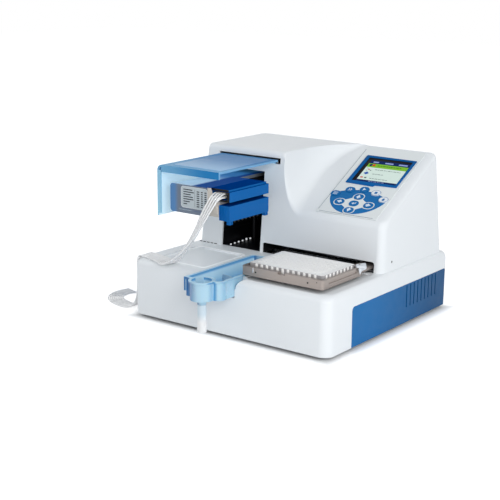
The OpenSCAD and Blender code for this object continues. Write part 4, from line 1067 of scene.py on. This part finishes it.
# Across from the panel's middle and up the slope, in millimetres
PAD_KEYS = {"up": (0, 50.1), "left": (-24.8, 34.4), "enter": (0, 34.4), "right": (24.8, 34.4), "down": (0, 18.7)}
KEYS = ARC_KEYS + list(PAD_KEYS)
KEY_TOP = 2.5
SIGN_HEIGHT = 0.14


def key_place(name):
    """Where a key's middle lies on the slope, in millimetres, across and up."""
    if name in PAD_KEYS:
        across, up = PAD_KEYS[name]
        return PANEL_X + across, up
    angle = math.radians((ARC_KEYS.index(name) - 2) * 22)
    return PANEL_X + ARC_RADIUS * math.sin(angle), ARC_MIDDLE + ARC_RADIUS * math.cos(angle)


def key_outline(name, grow):
    x, y = key_place(name)
    return rounded_outline(x, y, 15.4 + 2 * grow, 12 + 2 * grow, 6 + grow - 0.01, 8)


def pierced(piece, outlines):
    """Cuts openings with the given outlines through a flat plate that is drawn in millimetres."""
    for outline in outlines:
        cutter = plate("cutter", outline, 6, -1)
        work_on(piece)
        cut = piece.modifiers.new("Cut", "BOOLEAN")
        cut.operation = "DIFFERENCE"
        cut.object = cutter
        cut.solver = "EXACT"
        bpy.ops.object.modifier_apply(modifier=cut.name)
        bpy.data.objects.remove(cutter, do_unlink=True)
    return piece


def sloped(piece):
    """Settles a piece drawn on the slope's own plane."""
    return settle(piece, SLOPE)


class DISPENSER_OT_control_panel(bpy.types.Operator):
    """Finish the overlay, its lines, the bezel and the keypad with its rings"""

    bl_idname = "dispenser.control_panel"
    bl_label = "Control panel"

    def execute(self, context):
        refined("panel_overlay", "control_overlay", "overlay", 0.0004)
        outline = [(58, 79.2), (106, 77.2), (108.6, 80.4), (144.2, 81.2), (145.8, 146.6), (59.4, 148)]
        opening = [(65, 85.2), (141.2, 85.2), (141.4, 142.6), (65.6, 142.8)]
        frame_plate = pierced(plate("bezel_frame", outline, 1.7, 1.2), [opening])
        soften(frame_plate, 0.3, 2, 40)
        # The bezel darkens up the slope: painted shade
        finished(sloped(frame_plate), "frame", "bezel_blue")
        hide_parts("screen_bezel")
        # The keypad darkens up the slope: painted shade
        refined("keypad_moon", "keypad_panel", "key_blue", 0.0001, 1, 40, 40)
        lines = [
            plate("line", bar(x, y, w, d, 0.25), 0.15, 1.2)
            for x, y, w, d in ((PANEL_X, 9.2, 92, 0.6), (PANEL_X - 49.5, 88, 0.6, 150))
        ]
        finished(sloped(joined("overlay_lines", lines)), "frame", "overlay_line")
        # Light field between the four arrow keys: a square on its corner with bowed sides
        field = []
        for start in (0, 90, 180, 270):
            ends = [math.radians(start), math.radians(start + 90)]
            for step in range(7):
                u = step / 7
                bow = 1 - 0.16 * math.sin(math.pi * u)
                across = (1 - u) * math.cos(ends[0]) + u * math.cos(ends[1])
                up = (1 - u) * math.sin(ends[0]) + u * math.sin(ends[1])
                field.append((PANEL_X + 31 * across * bow, 34.4 + 21.5 * up * bow))
        light = pierced(plate("keypad_field", field, 0.12, 1.6), [key_outline(name, 0.35) for name in PAD_KEYS])
        rings = [rim("ring", key_outline(name, 1.9), 1.5, SIGN_HEIGHT, 1.6) for name in PAD_KEYS if name != "enter"]
        finished(sloped(joined("key_rings", rings)), "frame", "overlay")
        finished(sloped(light), "frame", "overlay")
        return {"FINISHED"}


ARROW_TURNS = {"right": 0, "up": 90, "left": 180, "down": 270}
ARROW = [
    (1.25 * u, 1.25 * v)
    for u, v in ((3.4, 0), (-1.6, 3.1), (-1.6, 1.1), (-3.4, 1.1), (-3.4, -1.1), (-1.6, -1.1), (-1.6, -3.1))
]
CHEVRON = [(-2, 2.6), (-0.8, 2.6), (1.6, 0), (-0.8, -2.6), (-2, -2.6), (0.4, 0)]
DROP = [
    (2.2 * math.cos(math.radians(150 + 20 * k)), 2.2 * math.sin(math.radians(150 + 20 * k)) - 0.8) for k in range(13)
] + [(0, 3.2)]


def sign_outlines(name):
    """The outlines of the plain sign on a key."""
    x, y = key_place(name)
    if name in ARROW_TURNS:
        return [turned(ARROW, ARROW_TURNS[name], x, y)]
    return {
        "enter": [turned([(2.6, 0), (-1.4, 2.3), (-1.4, -2.3)], 180, x - 0.8, y - 0.6),
                  bar(x + 1.6, y - 0.6, 3.6, 0.9), bar(x + 3, y + 0.9, 0.9, 3.6)],
        "menu": [bar(x, y + (k - 1) * 2.3, 7.4, 0.9) for k in range(3)],
        "prime": [turned(CHEVRON, 0, x - 1.4 + 3.2 * k, y) for k in range(2)],
        "start": [turned([(3, 0), (-2, 2.8), (-2, -2.8)], 0, x, y)],
        "stop": [bar(x, y, 4.4, 4.4, 0.4)],
        "empty": [turned(DROP, 0, x, y)],
    }[name]


class DISPENSER_OT_keys(bpy.types.Operator):
    """Finish the ten keys and their signs"""

    bl_idname = "dispenser.keys"
    bl_label = "Keys"

    def execute(self, context):
        for name in KEYS:
            pale = name in ("stop", "empty")
            # The blue caps share the keypad's painted shade
            slot = "key_white" if pale else "key_blue"
            refined("cap_" + name, "key_" + name, slot, 0.0003)
            signs = [plate("sign", outline, SIGN_HEIGHT, KEY_TOP) for outline in sign_outlines(name)]
            if pale:
                signs.append(rim("ring", key_outline(name, -0.1), 0.5, SIGN_HEIGHT, KEY_TOP - 0.1))
            marks = sloped(joined("sign_" + name, signs))
            finished(marks, "key_" + name, "key_blue" if pale else "mark_white", 30)
        return {"FINISHED"}


def words(start, end, y, height):
    """Plain bars that stand for a line of text."""
    bars, x = [], start
    while x < end:
        width = (4.2, 2.6, 5.4, 3.1, 1.8)[len(bars) % 5]
        bars.append(bar(x + width / 2, y, width, height, 0.2))
        x += width + 1.1
    return bars


TILE_HEIGHT = 0.1
# Name, finish, height over the slope in millimetres, outlines
DISPLAY_FIELDS = (
    ("display_field", "screen_mint", 2.3, [bar(106.3, 104.9, 68.6, 30.6, 0.2)]),
    ("display_header", "screen_navy", 2.3, [bar(106.5, 133.2, 68.2, 7.6), bar(106.1, 87.4, 69, 4.4, 0.2)]),
    ("display_tabs", "screen_lavender", 2.42, [
        bar(82.5, 133, 9, 3, 0.5), bar(105.5, 133, 14, 3, 0.5), bar(129.5, 133, 15, 3, 0.5)]),
    ("display_band", "screen_green", 2.32, [bar(106.4, 124.8, 68.4, 9.0, 0.2)]),
    ("display_text", "screen_dark_green", 2.44, words(89, 128, 125.2, 1.3)),
    ("display_ball_blue", "screen_navy", 2.46, [bar(77.6, 125.2, 5.6, 5.6, 2.7)]),
    ("display_ball_red", "screen_red", 2.48, [
        bar(82.8, 125.6, 5.4, 5.4, 2.6), bar(79.6, 114.6, 3, 1.8, 0.6), bar(77.4, 94.8, 5, 2.6, 1.2)]),
    ("display_rows", "screen_grey", 2.42, [
        *words(89.8, 133, 115.4, 0.9), *words(90.6, 109, 105, 0.9), *words(91, 122, 94.2, 0.9),
        bar(76, 117.6, 3, 0.7, 0.2), bar(83.6, 112.4, 2.4, 1.6), bar(84, 94.6, 3.6, 2.8, 0.5),
        bar(76.4, 112, 2.6, 0.7, 0.2)]),
    ("display_icon", "screen_blue", 2.44, [turned([(4.4, 0), (0, 3.4), (-4.4, 0), (0, -3.4)], 0, 80, 105.4)]),
    ("display_footer", "screen_lavender", 2.44, words(93, 117, 87.2, 1.1)),
)


class DISPENSER_OT_display(bpy.types.Operator):
    """Fill the display with its plain layout"""

    bl_idname = "dispenser.display"
    bl_label = "Display"

    def execute(self, context):
        refined("display_glass", "display", "screen", 0.0003)
        border = plate("display_border", [(63.4, 84), (142.6, 84), (142.6, 144.2), (63.4, 144.2)], 1.12, 1.16)
        soften(border, 0.2, 2, 40)
        finished(sloped(border), "frame", "screen_brown")

        for name, finish, base, outlines in DISPLAY_FIELDS:
            tiles = [plate("tile", outline, TILE_HEIGHT, base) for outline in outlines]
            finished(sloped(joined(name, tiles)), "frame", finish, 30)
        return {"FINISHED"}


# Bay and hardware


class DISPENSER_OT_bay(bpy.types.Operator):
    """Finish the black bay, its row of small white teeth, which glow a little as painted light, and its ledges"""

    bl_idname = "dispenser.bay"
    bl_label = "Working bay"

    def execute(self, context):
        refined("bay_lining", "bay_liner", "black", 0.0004, 1, 40, 35)
        refined("slot_lining", "slot_liner", "black", 0.0004, 1, 40, 35)
        strip = slab("teeth_strip", (-113, -17, 90.0), (-107.4, 54, 90.5), 0, 0.2)
        finished(settle(strip), "frame", "motor")
        teeth = []
        for i, height in enumerate((1.9, 1.9, 2.4, 2.2, 3.4, 2.2, 4.4)):
            y = -13.4 + i * 10.1
            teeth.append(slab("tooth", (-111, y, 90.3), (-109.2, y + 2.6, 90.3 + height), 0, 0.25))
        # The white teeth glow a little: painted light
        finished(settle(joined("bay_teeth", teeth)), "frame", "teeth_painted_light")
        heights = ((118, 119.6), (112, 113.2))
        ledges = [slab("ledge", (-122.0, -14, foot), (-121.2, 66, top), 0, 0.3) for foot, top in heights]
        finished(settle(joined("bay_ledges", ledges)), "frame", "motor")
        return {"FINISHED"}


class DISPENSER_OT_hardware(bpy.types.Operator):
    """Finish the CAD pieces that stay as they are"""

    bl_idname = "dispenser.hardware"
    bl_label = "Hardware"

    def execute(self, context):
        for node, piece in frame["nodes"].items():
            if piece.hide_render:
                continue
            piece.data.materials.clear()
            piece.data.materials.append(FINISHES[HARDWARE[node]])
        return {"FINISHED"}


HARDWARE = {
    "bottom_pan": "sheet_metal", "rubber_feet": "rubber", "rail_beam": "sheet_metal", "x_rail": "steel",
    "carrier_arm": "carrier_metal", "x_motor": "motor", "drive_pulley": "steel", "idler_pulley": "steel",
    "drive_belt": "rubber", "pump_rotor": "steel", "pump_rollers": "key_white", "tube_loops": "tubing",
    "pump_motor": "motor", "lift_rods": "black", "lift_screw": "black", "lift_motor": "motor", "hood_pin": "steel",
    "control_board": "board", "power_supply": "sheet_metal", "power_inlet": "black", "power_switch": "black",
}


OPERATORS = [
    DISPENSER_OT_finishes, DISPENSER_OT_stage, DISPENSER_OT_tubing, DISPENSER_OT_mouldings, DISPENSER_OT_side_panels,
    DISPENSER_OT_hood, DISPENSER_OT_pump, DISPENSER_OT_cassette, DISPENSER_OT_tray, DISPENSER_OT_carrier,
    DISPENSER_OT_microplate, DISPENSER_OT_control_panel, DISPENSER_OT_keys, DISPENSER_OT_display, DISPENSER_OT_bay,
    DISPENSER_OT_hardware,
]


class DISPENSER_PT_sidebar(bpy.types.Panel):
    """Lists the pieces, sizes and colours of the dispenser"""

    bl_idname = "DISPENSER_PT_sidebar"
    bl_label = "Reagent dispenser"
    bl_space_type = "VIEW_3D"
    bl_region_type = "UI"
    bl_category = "Dispenser"

    def draw(self, context):
        for group in (colours(), sizes()):
            box = self.layout.box()
            for name in group.__annotations__:
                box.prop(group, name)
        for operator in OPERATORS:
            self.layout.operator(operator.bl_idname)


CLASSES = [DispenserColours, DispenserSizes] + OPERATORS + [DISPENSER_PT_sidebar]


def register():
    for part in CLASSES:
        bpy.utils.register_class(part)
    bpy.types.Scene.dispenser_colours = bpy.props.PointerProperty(type=DispenserColours)
    bpy.types.Scene.dispenser_sizes = bpy.props.PointerProperty(type=DispenserSizes)


def unregister():
    del bpy.types.Scene.dispenser_sizes
    del bpy.types.Scene.dispenser_colours
    for part in reversed(CLASSES):
        bpy.utils.unregister_class(part)


def main():
    register()
    for operator in OPERATORS:
        group, name = operator.bl_idname.split(".")
        getattr(getattr(bpy.ops, group), name)()
    deselect()


if __name__ == "__main__":
    main()
